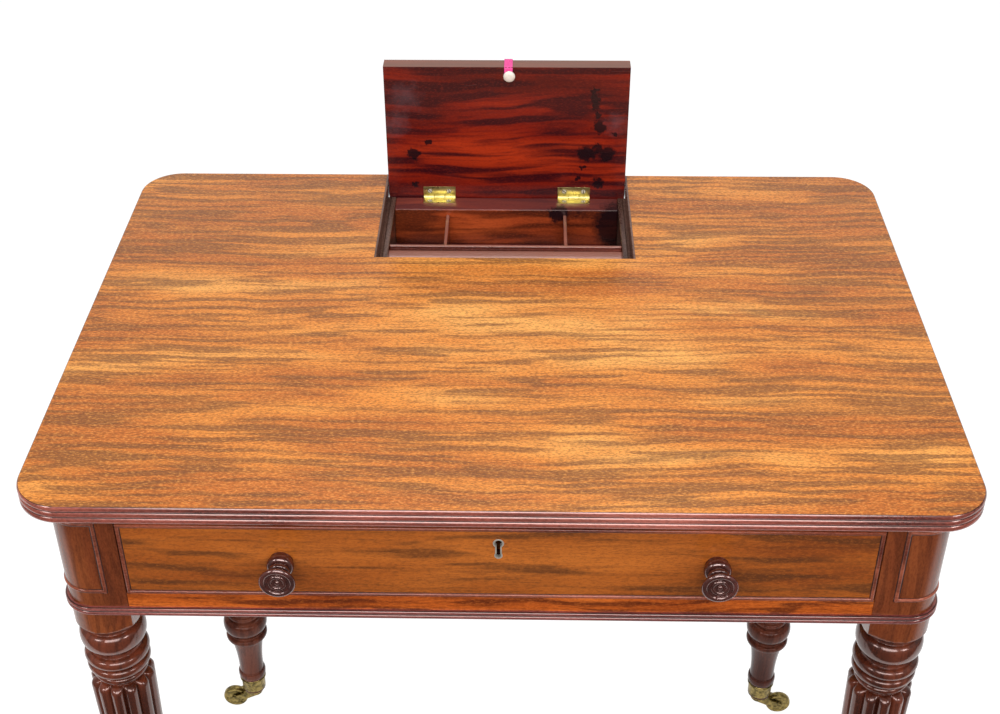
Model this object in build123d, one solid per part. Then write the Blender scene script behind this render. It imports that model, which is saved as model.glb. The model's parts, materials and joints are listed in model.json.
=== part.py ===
from build123d import *
import os

# Overall sizes of the table, in millimetres
table_width = 720
table_depth = 508
table_height = 735
top_thickness = 16
top_corner_radius = 37
top_overhang = 18
frieze_height = 109.5
frieze_corner_radius = 24
rail_thickness = 20
post_size = 53
running_gap = 0.2
cut_overrun = 2

# Reeded edges: how far each reed stands proud, as a share of its pitch
reed_proud_share = 0.22
top_reed_count = 3

# Moulding round the foot of the frieze, and the beaded panel on each post
base_moulding_height = 8
base_moulding_proud = 3
base_moulding_reeds = 2
panel_bead_width = 3
panel_bead_proud = 1.2
panel_bead_reach = 35.5

# Frame joints
tenon_length = 22
tenon_thickness = 8
tenon_shoulder = 12
front_rail_depth = 48
top_rail_height = 15
bottom_rail_height = 22.5

# Turned and reeded legs
turned_radius = 27
shoulder_height = 26
shoulder_drop = 13
leg_head_height = 65
leg_foot_height = 115
reed_count = 12
reed_flats = 4
reed_top_radius = 26.8
reed_bottom_radius = 19.5
reed_valley_share = 0.87
foot_spigot_radius = 14
spigot_gap = 0.1

# Castors
castor_height = 29
wheel_radius = 15
wheel_width = 10
axle_radius = 2
axle_clearance = 0.05
castor_trail = 25
cup_height = 26
cup_radius = 16.2
cup_collar_height = 3
cup_collar_proud = 0.5
cup_base_thickness = 2.6
pivot_radius = 3
pivot_length = 13
pivot_socket_gap = 0.5
horn_plate_radius = 9.5
horn_plate_thickness = 4
horn_cheek_thickness = 2.2
horn_cheek_gap = 0.6
horn_eye_radius = 5
castor_angles = {"front_left": 90, "front_right": 90, "back_left": 180, "back_right": 0}

# Pen and ink well let into the back of the top
notch_half_width = 119.6
notch_depth = 158.7
well_depth = 40
well_lip = 2
well_side_thickness = 9.4
well_floor_thickness = 6
well_front_thickness = 10
hinge_rail_depth = 24
tray_width = 47
tray_drop = 4.6
tray_cove_radius = 26
tray_cove_depth = 8
tray_cove_end = 0.6
tray_cove_corner = 5
partition_thickness = 3.6
divider_drop = 6
divider_thickness = 3.6
divider_x = 57.6

# Lid, its hinges, and its stud and ribbon pull
lid_travel = 90
lid_seat_gap = 0.4
lid_side_gap = 0.5
lid_front_gap = 1.2
hinge_back_gap = 0.4
hinge_length = 32
hinge_centre_x = 66.8
leaf_width = 11.5
leaf_thickness = 1.2
knuckle_radius = 2
knuckle_gap = 0.25
knuckle_count = 3
hinge_pin_radius = 1
hinge_pin_clearance = 0.05
stud_radius = 5.6
stud_height = 3.5
stud_rim = 1
stud_inset = 8.8
stud_x = 2.4
stud_pin_radius = 1.4
stud_pin_length = 8
ribbon_width = 10
ribbon_thickness = 0.5
ribbon_x = 1.6
ribbon_under_run = 12
ribbon_over_run = 9

# Drawer
drawer_gap = 0.7
drawer_back_gap = 1.3
drawer_front_thickness = 20
drawer_side_thickness = 9
drawer_side_lap = 14
drawer_back_thickness = 8
drawer_back_drop = 9
drawer_bottom_thickness = 6
drawer_bottom_rise = 6
drawer_groove_depth = 4
cock_bead_thickness = 3
cock_bead_depth = 5
cock_bead_proud = 1.4
runner_width = 21
runner_thickness = 12
guide_height = 24
kicker_overlap = 16
stop_length = 20
stop_height = 15
stop_width = 16

# Knobs
knob_x = 165.4
knob_drop = 51.3
knob_radius = 13.9
knob_reach = 27
knob_spigot_radius = 5
knob_spigot_length = 14

# Lock
keyhole_drop = 31
lock_width = 46
lock_height = 36
lock_thickness = 9
keyhole_radius = 3.1
keyhole_slot_radius = 1.4
keyhole_foot_radius = 2
keyhole_foot_drop = 12.3
escutcheon_wall = 1.1
escutcheon_depth = 3
escutcheon_proud = 0.3
lock_pin_radius = 1.2
lock_pin_length = 8
bolt_width = 20
bolt_thickness = 6
bolt_back = 1.5
bolt_height = 12
bolt_travel = 7
bolt_gap = 0.3
bolt_mortise_spare = 1

# Screws that hold the top down
screw_radius = 2.2
screw_head_radius = 4.2
screw_head_height = 2.6
screw_grip = 9
screw_front_x = 150

# Levels and places that follow from the sizes
top_z = table_height
under_top_z = top_z - top_thickness
base_z = under_top_z - frieze_height
half_width = table_width / 2
half_depth = table_depth / 2
frieze_x = half_width - top_overhang
frieze_y = half_depth - top_overhang
post_in_x = frieze_x - post_size
post_in_y = frieze_y - post_size
leg_x = frieze_x - post_size / 2
leg_y = frieze_y - post_size / 2
rail_in_x = frieze_x - rail_thickness
rail_in_y = frieze_y - rail_thickness
opening_top_z = under_top_z - top_rail_height
opening_low_z = base_z + bottom_rail_height
front_rail_back_y = -frieze_y + front_rail_depth
frame_shift_y = (knob_reach - top_overhang) / 2
signs = {"left": -1, "right": 1}
corners = {"front_left": (-1, -1), "front_right": (1, -1), "back_left": (-1, 1), "back_right": (1, 1)}

made = {}


def keep(name, *shapes):
    """Hold the solids of one piece, or of one group of like pieces, under its name."""
    made[name] = [solid for shape in shapes for solid in shape.solids()]


def block(x_pair, y_pair, z_pair):
    """A square-edged piece between two places on each axis, given in either order."""
    sizes = [abs(pair[1] - pair[0]) for pair in (x_pair, y_pair, z_pair)]
    middle = [(pair[0] + pair[1]) / 2 for pair in (x_pair, y_pair, z_pair)]
    return Pos(*middle) * Box(*sizes)


def upright(radius, x, y, z_pair):
    """A round piece that stands along Z between two levels."""
    middle = (z_pair[0] + z_pair[1]) / 2
    return Pos(x, y, middle) * Cylinder(radius, abs(z_pair[1] - z_pair[0]))


def crossways(radius, x_pair, y, z):
    """A round piece that lies along X between two places."""
    middle = (x_pair[0] + x_pair[1]) / 2
    return Pos(middle, y, z) * Rot(0, 90, 0) * Cylinder(radius, abs(x_pair[1] - x_pair[0]))


def reeded_face(out_x, in_x, z_low, z_high, count, proud):
    """Section of an edge in the XZ plane, its outer side worked into equal reeds, each one in three flats."""
    pitch = (z_high - z_low) / count
    foot_x = out_x - proud
    points = [(foot_x, z_high), (in_x, z_high), (in_x, z_low), (foot_x, z_low)]
    for reed in range(count):
        foot = z_low + reed * pitch
        points += [(out_x, foot + pitch / 4), (out_x, foot + pitch * 3 / 4), (foot_x, foot + pitch)]
    with BuildSketch(Plane.XZ) as section:
        with BuildLine():
            Polyline(*points)
        make_face()
    return section.sketch


def straight_run(face, y_pair):
    """A section in the XZ plane run along Y between two places."""
    return Pos(0, y_pair[0], 0) * extrude(face, y_pair[1] - y_pair[0], dir=(0, 1, 0))


def corner_run(face):
    """A section in the XZ plane swept a quarter turn round the Z axis, from +X towards +Y."""
    return revolve(face, Axis.Z, 90)


def turned(members, length, radius, spigot=0, spigot_radius=0):
    """A turning on the Z axis, worked downwards from z = 0. Each member is its form, its height as a share
    of the length, then its radius where it starts, half-way down and where it ends, as shares of the radius.
    A hollow is an arc, a round is worked in three flats, a ring is bevelled to a ridge and a band is straight."""
    total = sum(member[1] for member in members)
    z = 0
    last = (0, 0)
    with BuildSketch(Plane.XZ) as section:
        with BuildLine():
            for form, height, start, middle, end in members:
                drop = length * height / total
                begin = (radius * start, z)
                between = (radius * middle, z - drop / 2)
                finish = (radius * end, z - drop)
                if begin != last:
                    Line(last, begin)
                if form == "ring":
                    Polyline(begin, between, finish)
                elif form == "round":
                    Polyline(begin, (between[0], z - drop / 4), (between[0], z - drop * 3 / 4), finish)
                elif form == "band":
                    Line(begin, finish)
                else:
                    ThreePointArc(begin, between, finish)
                z -= drop
                last = finish
            if spigot:
                Polyline(last, (spigot_radius, z), (spigot_radius, z - spigot), (0, z - spigot), (0, 0))
            else:
                Polyline(last, (0, z), (0, 0))
        make_face()
    return revolve(section.sketch, Axis.Z, 360)


# The top: one board with a triple-reeded edge and rounded corners, notched at the back for the well
board_x = half_width - top_corner_radius
board_y = half_depth - top_corner_radius
notch_front_y = half_depth - notch_depth
reed_proud = top_thickness / top_reed_count * reed_proud_share
top_edge = reeded_face(top_corner_radius, 0, under_top_z, top_z, top_reed_count, reed_proud)
top_board = block((-board_x, board_x), (-board_y, board_y), (under_top_z, top_z))
for quarter in range(4):
    out, along = (board_y, board_x) if quarter % 2 else (board_x, board_y)
    side_turn = Rot(0, 0, 90 * quarter)
    top_board += side_turn * Pos(out, 0, 0) * straight_run(top_edge, (-along, along))
    top_board += side_turn * Pos(out, along, 0) * corner_run(top_edge)
top_board -= block((-notch_half_width, notch_half_width), (notch_front_y, half_depth + cut_overrun),
                   (under_top_z - cut_overrun, top_z + cut_overrun))

# Side rails and back rail of the frieze, tenoned into the corner posts
tenon_in = (rail_thickness - tenon_thickness) / 2
tenon_z = (base_z + tenon_shoulder, under_top_z - tenon_shoulder)
tongues = []
rails = {}
for side, sign in signs.items():
    rail = block((sign * rail_in_x, sign * frieze_x), (-post_in_y, post_in_y), (base_z, under_top_z))
    for end in (-1, 1):
        tongue = block((sign * (rail_in_x + tenon_in), sign * (frieze_x - tenon_in)),
                       (end * post_in_y, end * (post_in_y + tenon_length)), tenon_z)
        tongues.append(tongue)
        rail += tongue
    rails["side_rail_" + side] = rail

well_floor_z = under_top_z - well_depth
back_rail = block((-post_in_x, post_in_x), (rail_in_y, frieze_y), (base_z, under_top_z))
for end in (-1, 1):
    tongue = block((end * post_in_x, end * (post_in_x + tenon_length)),
                   (rail_in_y + tenon_in, frieze_y - tenon_in), tenon_z)
    tongues.append(tongue)
    back_rail += tongue
back_rail -= block((-notch_half_width, notch_half_width), (rail_in_y - cut_overrun, frieze_y + cut_overrun),
                   (well_floor_z, under_top_z + cut_overrun))
rails["back_rail"] = back_rail

# Front rails above and below the drawer, laid flat, each with a flat tenon at both ends
tongue_in = (front_rail_depth - rail_thickness) / 2
for name, z_pair in (("front_top_rail", (opening_top_z, under_top_z)),
                     ("front_bottom_rail", (base_z, opening_low_z))):
    rail = block((-post_in_x, post_in_x), (-frieze_y, front_rail_back_y), z_pair)
    third = (z_pair[1] - z_pair[0]) / 3
    for end in (-1, 1):
        tongue = block((end * post_in_x, end * (post_in_x + tenon_length)),
                       (-frieze_y + tongue_in, front_rail_back_y - tongue_in), (z_pair[0] + third, z_pair[1] - third))
        tongues.append(tongue)
        rail += tongue
    rails[name] = rail

# Legs: a square post with one rounded corner runs down into the turning, and the shaft below it is reeded
head_shares = (
    ("band", 5, 0.87, 0.87, 0.87),
    ("round", 29, 0.83, 0.98, 0.84),
    ("ring", 10, 0.84, 0.97, 0.85),
    ("ring", 11.5, 0.85, 0.97, 0.75),
    ("ring", 7, 0.75, 0.85, 0.74),
    ("band", 2.5, 0.74, 0.74, 0.74),
)
foot_shares = (
    ("ring", 9, 0.63, 0.75, 0.66),
    ("round", 25, 0.76, 0.95, 0.76),
    ("ring", 13, 0.76, 0.91, 0.76),
    ("hollow", 55, 0.72, 0.57, 0.54),
    ("ring", 12, 0.54, 0.62, 0.54),
)
leg_foot_z = castor_height + cup_base_thickness
cup_top_z = castor_height + cup_height
shoulder_z = base_z - shoulder_height
reeds_top_z = shoulder_z - leg_head_height
reeds_low_z = cup_top_z + leg_foot_height
reeds_height = reeds_top_z - reeds_low_z


def reed_ring(radius, z):
    """Plan of the reeded shaft at one level: twelve round-backed reeds, each worked in a few flats."""
    half_step = 180 / reed_count
    valley = Vector(radius * reed_valley_share, 0).rotate(Axis.Z, half_step)
    centre = (radius ** 2 - valley.length ** 2) / (radius - valley.X) / 2
    half_arc = Vector(1, 0).get_angle(valley - Vector(centre, 0))
    points = []
    for reed in range(reed_count):
        for flat in range(reed_flats):
            edge = Vector(radius - centre, 0).rotate(Axis.Z, half_arc * (2 * flat / reed_flats - 1))
            points.append((edge + Vector(centre, 0)).rotate(Axis.Z, 2 * half_step * reed))
    with BuildSketch(Plane.XY.offset(z)) as ring:
        with BuildLine():
            Polyline(*points, close=True)
        make_face()
    return ring.sketch


def make_leg():
    """One leg on the Z axis, its post's rounded corner towards +X and +Y."""
    half = post_size / 2
    post_length = under_top_z - shoulder_z
    post = block((-half, half), (-half, half), (shoulder_z, under_top_z))
    corner_edge = post.edges().filter_by(Axis.Z).sort_by(lambda edge: edge.center().X + edge.center().Y)[-1]
    post = fillet(corner_edge, frieze_corner_radius)
    reach = post_size * 0.5 ** 0.5 + cut_overrun
    foot_radius = turned_radius * head_shares[0][2]
    with BuildSketch(Plane.XZ) as section:
        with BuildLine():
            Polyline((0, 0), (foot_radius, 0), (reach, shoulder_drop), (reach, post_length + cut_overrun),
                     (0, post_length + cut_overrun), (0, 0))
        make_face()
    post &= Pos(0, 0, shoulder_z) * revolve(section.sketch, Axis.Z, 360)
    shaft = loft([reed_ring(reed_bottom_radius, 0), reed_ring(reed_top_radius, reeds_height)], ruled=True)
    head = turned(head_shares, leg_head_height, turned_radius)
    foot = turned(foot_shares, leg_foot_height, turned_radius, cup_top_z - leg_foot_z, foot_spigot_radius)
    leg = post + Pos(0, 0, shoulder_z) * head + Pos(0, 0, reeds_low_z) * shaft + Pos(0, 0, reeds_low_z) * foot
    return leg - upright(pivot_radius + pivot_socket_gap, 0, 0, (leg_foot_z, leg_foot_z + pivot_length))


plain_leg = make_leg()
legs = {}
for corner, (x_sign, y_sign) in corners.items():
    leg = plain_leg
    if x_sign < 0:
        leg = leg.mirror(Plane.YZ)
    if y_sign < 0:
        leg = leg.mirror(Plane.XZ)
    leg = Pos(x_sign * leg_x, y_sign * leg_y, 0) * leg
    for tongue in tongues:
        leg -= tongue
    legs[corner] = leg

for corner, leg in legs.items():
    keep("leg_" + corner, leg)
for side in signs:
    keep("side_rail_" + side, rails["side_rail_" + side])
keep("front_bottom_rail", rails["front_bottom_rail"])


def half_turns(run):
    """The same run on both sides of a corner's diagonal, the second one mirrored from the first."""
    return [run, run.mirror(Plane(origin=(0, 0, 0), z_dir=(1, -1, 0)))]


def place_at_corner(shape, x_sign, y_sign):
    """A piece made round the corner at +X and +Y, mirrored to another corner of the frieze."""
    shape = Pos(frieze_x - frieze_corner_radius, frieze_y - frieze_corner_radius, 0) * shape
    if x_sign < 0:
        shape = shape.mirror(Plane.YZ)
    if y_sign < 0:
        shape = shape.mirror(Plane.XZ)
    return shape


# Panel beads: a thin bead planted on each post in a rectangle that wraps round its corner
panel_run = panel_bead_reach - frieze_corner_radius
with BuildSketch(Plane.XZ) as bead_section:
    with BuildLine():
        Polyline((frieze_corner_radius, 0), (frieze_corner_radius + panel_bead_proud, panel_bead_width / 4),
                 (frieze_corner_radius + panel_bead_proud, panel_bead_width * 3 / 4),
                 (frieze_corner_radius, panel_bead_width), (frieze_corner_radius, 0))
    make_face()
bead_face = bead_section.sketch
rail_bead = corner_run(bead_face)
for run in half_turns(straight_run(bead_face, (-panel_run, 0))):
    rail_bead += run
panel_height = opening_top_z - opening_low_z
stile_bead = Pos(0, -panel_run, 0) * extrude(Rot(-90, 0, 0) * bead_face, panel_height, dir=(0, 0, 1))
panel_bead = rail_bead + Pos(0, 0, panel_height - panel_bead_width) * rail_bead
for run in half_turns(stile_bead):
    panel_bead += run
panel_bead = Pos(0, 0, opening_low_z) * panel_bead
keep("panel_beads", *[place_at_corner(panel_bead, *corner_signs) for corner_signs in corners.values()])

# Base moulding: two reeds round the foot of the frieze, the front and back runs taking the corners
moulding_round = base_moulding_height / base_moulding_reeds * reed_proud_share
moulding_face = reeded_face(frieze_corner_radius + base_moulding_proud, frieze_corner_radius, base_z,
                            base_z + base_moulding_height, base_moulding_reeds, moulding_round)
moulding_x = frieze_x - frieze_corner_radius
moulding_y = frieze_y - frieze_corner_radius
front_moulding = Rot(0, 0, -90) * Pos(moulding_y, 0, 0) * straight_run(moulding_face, (-moulding_x, moulding_x))
for x_sign in signs.values():
    front_moulding += place_at_corner(corner_run(moulding_face), x_sign, -1)
keep("base_moulding_front", front_moulding)
keep("base_moulding_back", front_moulding.mirror(Plane.XZ))
side_moulding = Pos(moulding_x, 0, 0) * straight_run(moulding_face, (-moulding_y, moulding_y))
keep("base_moulding_right", side_moulding)
keep("base_moulding_left", side_moulding.mirror(Plane.YZ))

# Drawer runners, guides, kickers and stops, glued inside the frieze on both sides
runner_x = (post_in_x, post_in_x - runner_width)
drawer_back_y = half_depth - notch_depth - well_front_thickness - drawer_back_gap
kicker_back_y = drawer_back_y + kicker_overlap
runners = []
guides = []
kickers = []
stops = []
for sign in signs.values():
    side_x = [sign * x for x in runner_x]
    runners.append(block(side_x, (front_rail_back_y, rail_in_y), (opening_low_z - runner_thickness, opening_low_z)))
    guides.append(block((sign * post_in_x, sign * rail_in_x), (-post_in_y, post_in_y),
                        (opening_low_z - runner_thickness, opening_low_z - runner_thickness + guide_height)))
    kickers.append(block(side_x, (front_rail_back_y, kicker_back_y), (opening_top_z, under_top_z)))
    stop_y = drawer_back_y + running_gap
    stops.append(block((sign * post_in_x, sign * (post_in_x - stop_width)), (stop_y, stop_y + stop_length),
                       (opening_low_z, opening_low_z + stop_height)))
keep("drawer_runners", *runners)
keep("drawer_guides", *guides)
keep("drawer_stops", *stops)

# Screws that hold the top down, up through the front top rail and the kickers
front_screw_y = (-frieze_y + front_rail_back_y) / 2
kicker_x = post_in_x - runner_width / 2
kicker_screw_y = (front_rail_back_y + kicker_back_y) / 2
screw_places = [(sign * screw_front_x, front_screw_y) for sign in signs.values()]
screw_places += [(sign * kicker_x, kicker_screw_y) for sign in signs.values()]
screws = []
for x, y in screw_places:
    shank = upright(screw_radius, x, y, (opening_top_z, under_top_z + screw_grip))
    screws.append(shank + upright(screw_head_radius, x, y, (opening_top_z, opening_top_z + screw_head_height)))
keep("top_screws", *screws)


def less_screws(shape):
    """A piece with the screws' holes through it."""
    for screw in screws:
        shape = shape - screw
    return shape


keep("top_board", less_screws(top_board))
keep("drawer_kickers", *[less_screws(kicker) for kicker in kickers])

# Lock bolt, its slot in the case and the mortise above it in the rail
drawer_x = post_in_x - drawer_gap
drawer_low_z = opening_low_z + running_gap
drawer_high_z = opening_top_z - drawer_gap
drawer_front_y = -frieze_y + drawer_front_thickness
bolt_y = (drawer_front_y + bolt_back, drawer_front_y + bolt_back + bolt_thickness)
bolt_z = (drawer_high_z - bolt_height, drawer_high_z)
bolt_slot_x = (-bolt_width / 2 - bolt_gap, bolt_width / 2 + bolt_gap)
bolt_slot_y = (bolt_y[0] - bolt_gap, bolt_y[1] + bolt_gap)
keep("lock_bolt", block((-bolt_width / 2, bolt_width / 2), bolt_y, bolt_z))
front_top_rail = rails["front_top_rail"] - block(
    bolt_slot_x, bolt_slot_y, (opening_top_z - cut_overrun, opening_top_z + bolt_travel + bolt_mortise_spare))
keep("front_top_rail", less_screws(front_top_rail))

# Well let in behind the notch: front, sides with a lip up to the table surface, floor and hinge rail
ledge_z = under_top_z - lid_seat_gap
well_in_x = notch_half_width - well_side_thickness
well_back_y = half_depth - reed_proud
keep("well_front", block((-notch_half_width - well_side_thickness, notch_half_width + well_side_thickness),
                         (notch_front_y - well_front_thickness, notch_front_y),
                         (well_floor_z - well_floor_thickness, under_top_z)))
for side, sign in signs.items():
    lip_x = (sign * (notch_half_width - well_lip), sign * notch_half_width)
    well_side = block((sign * well_in_x, sign * notch_half_width), (notch_front_y, frieze_y), (well_floor_z, ledge_z))
    well_side += block(lip_x, (notch_front_y, frieze_y), (ledge_z, under_top_z))
    well_side += block(lip_x, (notch_front_y, well_back_y), (under_top_z, top_z))
    keep("well_side_" + side, well_side)
keep("well_floor", block((-notch_half_width, notch_half_width), (notch_front_y, rail_in_y),
                         (well_floor_z - well_floor_thickness, well_floor_z)))
keep("back_rail", rails["back_rail"])
hinge_rail_y = frieze_y - hinge_rail_depth
hinge_rail = block((-well_in_x, well_in_x), (hinge_rail_y, frieze_y), (well_floor_z, ledge_z))

# Pen tray with a rounded cove, and the partitions of the ink compartments behind it
tray_back_y = notch_front_y + tray_width
tray_z = under_top_z - tray_drop
cove_z = tray_z + tray_cove_radius - tray_cove_depth
cove_half = well_in_x - tray_cove_end
cove_y = (notch_front_y + tray_back_y) / 2
cove = crossways(tray_cove_radius, (-cove_half, cove_half), cove_y, cove_z)
cove_reach = (tray_cove_radius ** 2 - (tray_cove_radius - tray_cove_depth) ** 2) ** 0.5
cove_plan = block((-cove_half, cove_half), (cove_y - cove_reach, cove_y + cove_reach), (well_floor_z, top_z))
cove &= fillet(cove_plan.edges().filter_by(Axis.Z), tray_cove_corner)
tray = block((-well_in_x, well_in_x), (notch_front_y, tray_back_y), (well_floor_z, tray_z))
keep("pen_tray", tray - cove)
partition_back_y = tray_back_y + partition_thickness
keep("well_partition", block((-well_in_x, well_in_x), (tray_back_y, partition_back_y), (well_floor_z, ledge_z)))
dividers = []
for sign in signs.values():
    dividers.append(block((sign * divider_x - divider_thickness / 2, sign * divider_x + divider_thickness / 2),
                          (partition_back_y, hinge_rail_y), (well_floor_z, under_top_z - divider_drop)))
keep("well_dividers", *dividers)

# Lid, made here lying shut: it meets the hinge rail behind, and its reeded tail carries on the table's edge
axis_y = frieze_y + hinge_back_gap
axis_z = under_top_z - lid_seat_gap / 2
lid_half = notch_half_width - well_lip - lid_side_gap
lid_front_y = notch_front_y + lid_front_gap
lid_edge = reeded_face(half_depth, half_depth - top_corner_radius, under_top_z, top_z, top_reed_count, reed_proud)
lid_board = block((-lid_half, lid_half), (lid_front_y, board_y), (under_top_z, top_z))
lid_board += Rot(0, 0, 90) * straight_run(lid_edge, (-lid_half, lid_half))

# Butt hinges: leaves let in flush, knuckles in turn on the rail and the lid, one pin through each
knuckle_pitch = hinge_length / knuckle_count
knuckle_length = knuckle_pitch - knuckle_gap
rail_leaves = []
lid_leaves = []
pins = []
for sign in signs.values():
    centre_x = sign * hinge_centre_x
    leaf_x = (centre_x - hinge_length / 2, centre_x + hinge_length / 2)
    recess = crossways(knuckle_radius + running_gap, leaf_x, axis_y, axis_z)
    leaf_y = (axis_y - leaf_width, axis_y)
    rail_leaf = block(leaf_x, leaf_y, (ledge_z - leaf_thickness, ledge_z))
    lid_leaf = block(leaf_x, leaf_y, (under_top_z, under_top_z + leaf_thickness))
    hinge_rail -= rail_leaf + recess
    lid_board -= lid_leaf + recess
    for count in range(knuckle_count):
        start = leaf_x[0] + count * knuckle_pitch
        knuckle = crossways(knuckle_radius, (start + knuckle_gap / 2, start + knuckle_gap / 2 + knuckle_length),
                            axis_y, axis_z)
        relief = crossways(knuckle_radius + running_gap, (start, start + knuckle_pitch), axis_y, axis_z)
        if count % 2:
            rail_leaf -= relief
            lid_leaf += knuckle
        else:
            lid_leaf -= relief
            rail_leaf += knuckle
    bore = crossways(hinge_pin_radius + hinge_pin_clearance, leaf_x, axis_y, axis_z)
    rail_leaves.append(rail_leaf - bore)
    lid_leaves.append(lid_leaf - bore)
    pins.append(crossways(hinge_pin_radius, leaf_x, axis_y, axis_z))
keep("hinge_rail", hinge_rail)
keep("rail_leaves", *rail_leaves)
keep("hinge_pins", *pins)

# Ribbon pull, pinned under the stud and folded over the lid's free edge
ribbon_x_pair = (ribbon_x - ribbon_width / 2, ribbon_x + ribbon_width / 2)
ribbon_y = (lid_front_y - ribbon_thickness, lid_front_y)
ribbon_low_z = under_top_z - ribbon_thickness
ribbon = block(ribbon_x_pair, ribbon_y, (ribbon_low_z, top_z + ribbon_thickness))
ribbon += block(ribbon_x_pair, (lid_front_y, lid_front_y + ribbon_under_run), (ribbon_low_z, under_top_z))
ribbon += block(ribbon_x_pair, (lid_front_y, lid_front_y + ribbon_over_run), (top_z, top_z + ribbon_thickness))
stud_y = lid_front_y + stud_inset
stud_low_z = ribbon_low_z - stud_height
stud = upright(stud_radius, stud_x, stud_y, (stud_low_z, ribbon_low_z))
stud = chamfer(stud.edges().filter_by(GeomType.CIRCLE).sort_by(Axis.Z)[0], stud_rim)
stud_pin = upright(stud_pin_radius, stud_x, stud_y, (ribbon_low_z, ribbon_low_z + stud_pin_length))


def opened(shape):
    """A piece of the lid turned up on the hinge axis, as the lid stands at rest."""
    return Pos(0, axis_y, axis_z) * Rot(-lid_travel, 0, 0) * Pos(0, -axis_y, -axis_z) * shape


keep("lid_board", opened(lid_board - stud_pin))
keep("lid_leaves", *[opened(leaf) for leaf in lid_leaves])
keep("lid_stud", opened(stud + stud_pin))
keep("ribbon_tab", opened(ribbon - stud_pin))

# Drawer box: sides lapped behind the front, back dropped, bottom in grooves
side_in_x = drawer_x - drawer_side_thickness
box_back_y = drawer_back_y - drawer_back_thickness
bottom_z = (drawer_low_z + drawer_bottom_rise, drawer_low_z + drawer_bottom_rise + drawer_bottom_thickness)
bottom = block((-side_in_x - drawer_groove_depth, side_in_x + drawer_groove_depth),
               (drawer_front_y - drawer_groove_depth, drawer_back_y), bottom_z)
keep("drawer_bottom", bottom)
drawer_front = block((-drawer_x, drawer_x), (-frieze_y, drawer_front_y), (drawer_low_z, drawer_high_z)) - bottom
for side, sign in signs.items():
    drawer_side = block((sign * side_in_x, sign * drawer_x), (drawer_front_y - drawer_side_lap, drawer_back_y),
                        (drawer_low_z, drawer_high_z))
    drawer_front -= drawer_side
    keep("drawer_side_" + side, drawer_side - bottom)
keep("drawer_back", block((-side_in_x, side_in_x), (box_back_y, drawer_back_y),
                          (bottom_z[1], drawer_high_z - drawer_back_drop)))

# Cock beads: four mitred strips round the drawer front, let in flush and standing proud with a round nose
bead_top_y = -frieze_y - cock_bead_proud
bead_in_y = -frieze_y + cock_bead_depth
nose = cock_bead_thickness / 2


def cock_bead(length):
    """A strip along X with its outer side at z = 0, its ends cut back at 45 degrees."""
    with BuildSketch(Plane.YZ) as section:
        with BuildLine():
            Polyline((bead_top_y + nose, 0), (bead_in_y, 0), (bead_in_y, -cock_bead_thickness),
                     (bead_top_y + nose, -cock_bead_thickness))
            ThreePointArc((bead_top_y + nose, -cock_bead_thickness), (bead_top_y, -nose), (bead_top_y + nose, 0))
        make_face()
    strip = Pos(-length / 2, 0, 0) * extrude(section.sketch, length, dir=(1, 0, 0))
    with BuildSketch(Plane.XZ) as plan:
        with BuildLine():
            Polyline((-length / 2, 0), (length / 2, 0), (length / 2 - cock_bead_thickness, -cock_bead_thickness),
                     (-length / 2 + cock_bead_thickness, -cock_bead_thickness), (-length / 2, 0))
        make_face()
    return strip & Pos(0, bead_in_y, 0) * extrude(plan.sketch, bead_in_y - bead_top_y, dir=(0, -1, 0))


front_middle_z = (drawer_low_z + drawer_high_z) / 2
front_half_height = (drawer_high_z - drawer_low_z) / 2
long_bead = Pos(0, 0, front_half_height) * cock_bead(2 * drawer_x)
short_bead = Pos(0, 0, drawer_x) * cock_bead(2 * front_half_height)
beads = [long_bead, Rot(0, 90, 0) * short_bead, Rot(0, 180, 0) * long_bead, Rot(0, -90, 0) * short_bead]
beads = [Pos(0, 0, front_middle_z) * bead for bead in beads]
keep("cock_beads", *beads)
frame_x = drawer_x - cock_bead_thickness
frame_low_z = drawer_low_z + cock_bead_thickness
frame_high_z = drawer_high_z - cock_bead_thickness
rebate = block((-drawer_x, drawer_x), (-frieze_y, bead_in_y), (drawer_low_z, drawer_high_z))
rebate -= block((-frame_x, frame_x), (-frieze_y, bead_in_y), (frame_low_z, frame_high_z))
drawer_front -= rebate

# Knobs: turned, with a ringed face, a waisted stem and a spigot glued into the front
knob_shares = (
    ("ring", 1.6, 0, 0.3, 0.5),
    ("band", 1.4, 0.62, 0.81, 1),
    ("band", 2.5, 1, 1, 1),
    ("ring", 5.5, 1, 0.5, 0.41),
    ("ring", 4, 0.41, 0.6, 0.47),
    ("ring", 10.5, 0.47, 0.64, 0.5),
)
knob = turned(knob_shares, knob_reach, knob_radius, knob_spigot_length, knob_spigot_radius)
knob_z = under_top_z - knob_drop
knobs = [Pos(sign * knob_x, -frieze_y - knob_reach, knob_z) * Rot(90, 0, 0) * knob for sign in signs.values()]
keep("knobs", *knobs)
for placed in knobs:
    drawer_front -= placed

# Lock: a keyhole through the front, its lining ring, the case behind the front and the key pin
keyhole_z = under_top_z - keyhole_drop


def keyhole(grow, y_pair):
    """The keyhole's outline, grown all round, as a plug through the drawer front."""
    with BuildSketch(Plane.XZ) as outline:
        Circle(keyhole_radius + grow)
        with Locations((0, -keyhole_foot_drop)):
            Circle(keyhole_foot_radius + grow)
        with Locations((0, -keyhole_foot_drop / 2)):
            Rectangle(2 * (keyhole_slot_radius + grow), keyhole_foot_drop)
    return Pos(0, y_pair[0], keyhole_z) * extrude(outline.sketch, y_pair[1] - y_pair[0], dir=(0, 1, 0))


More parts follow.
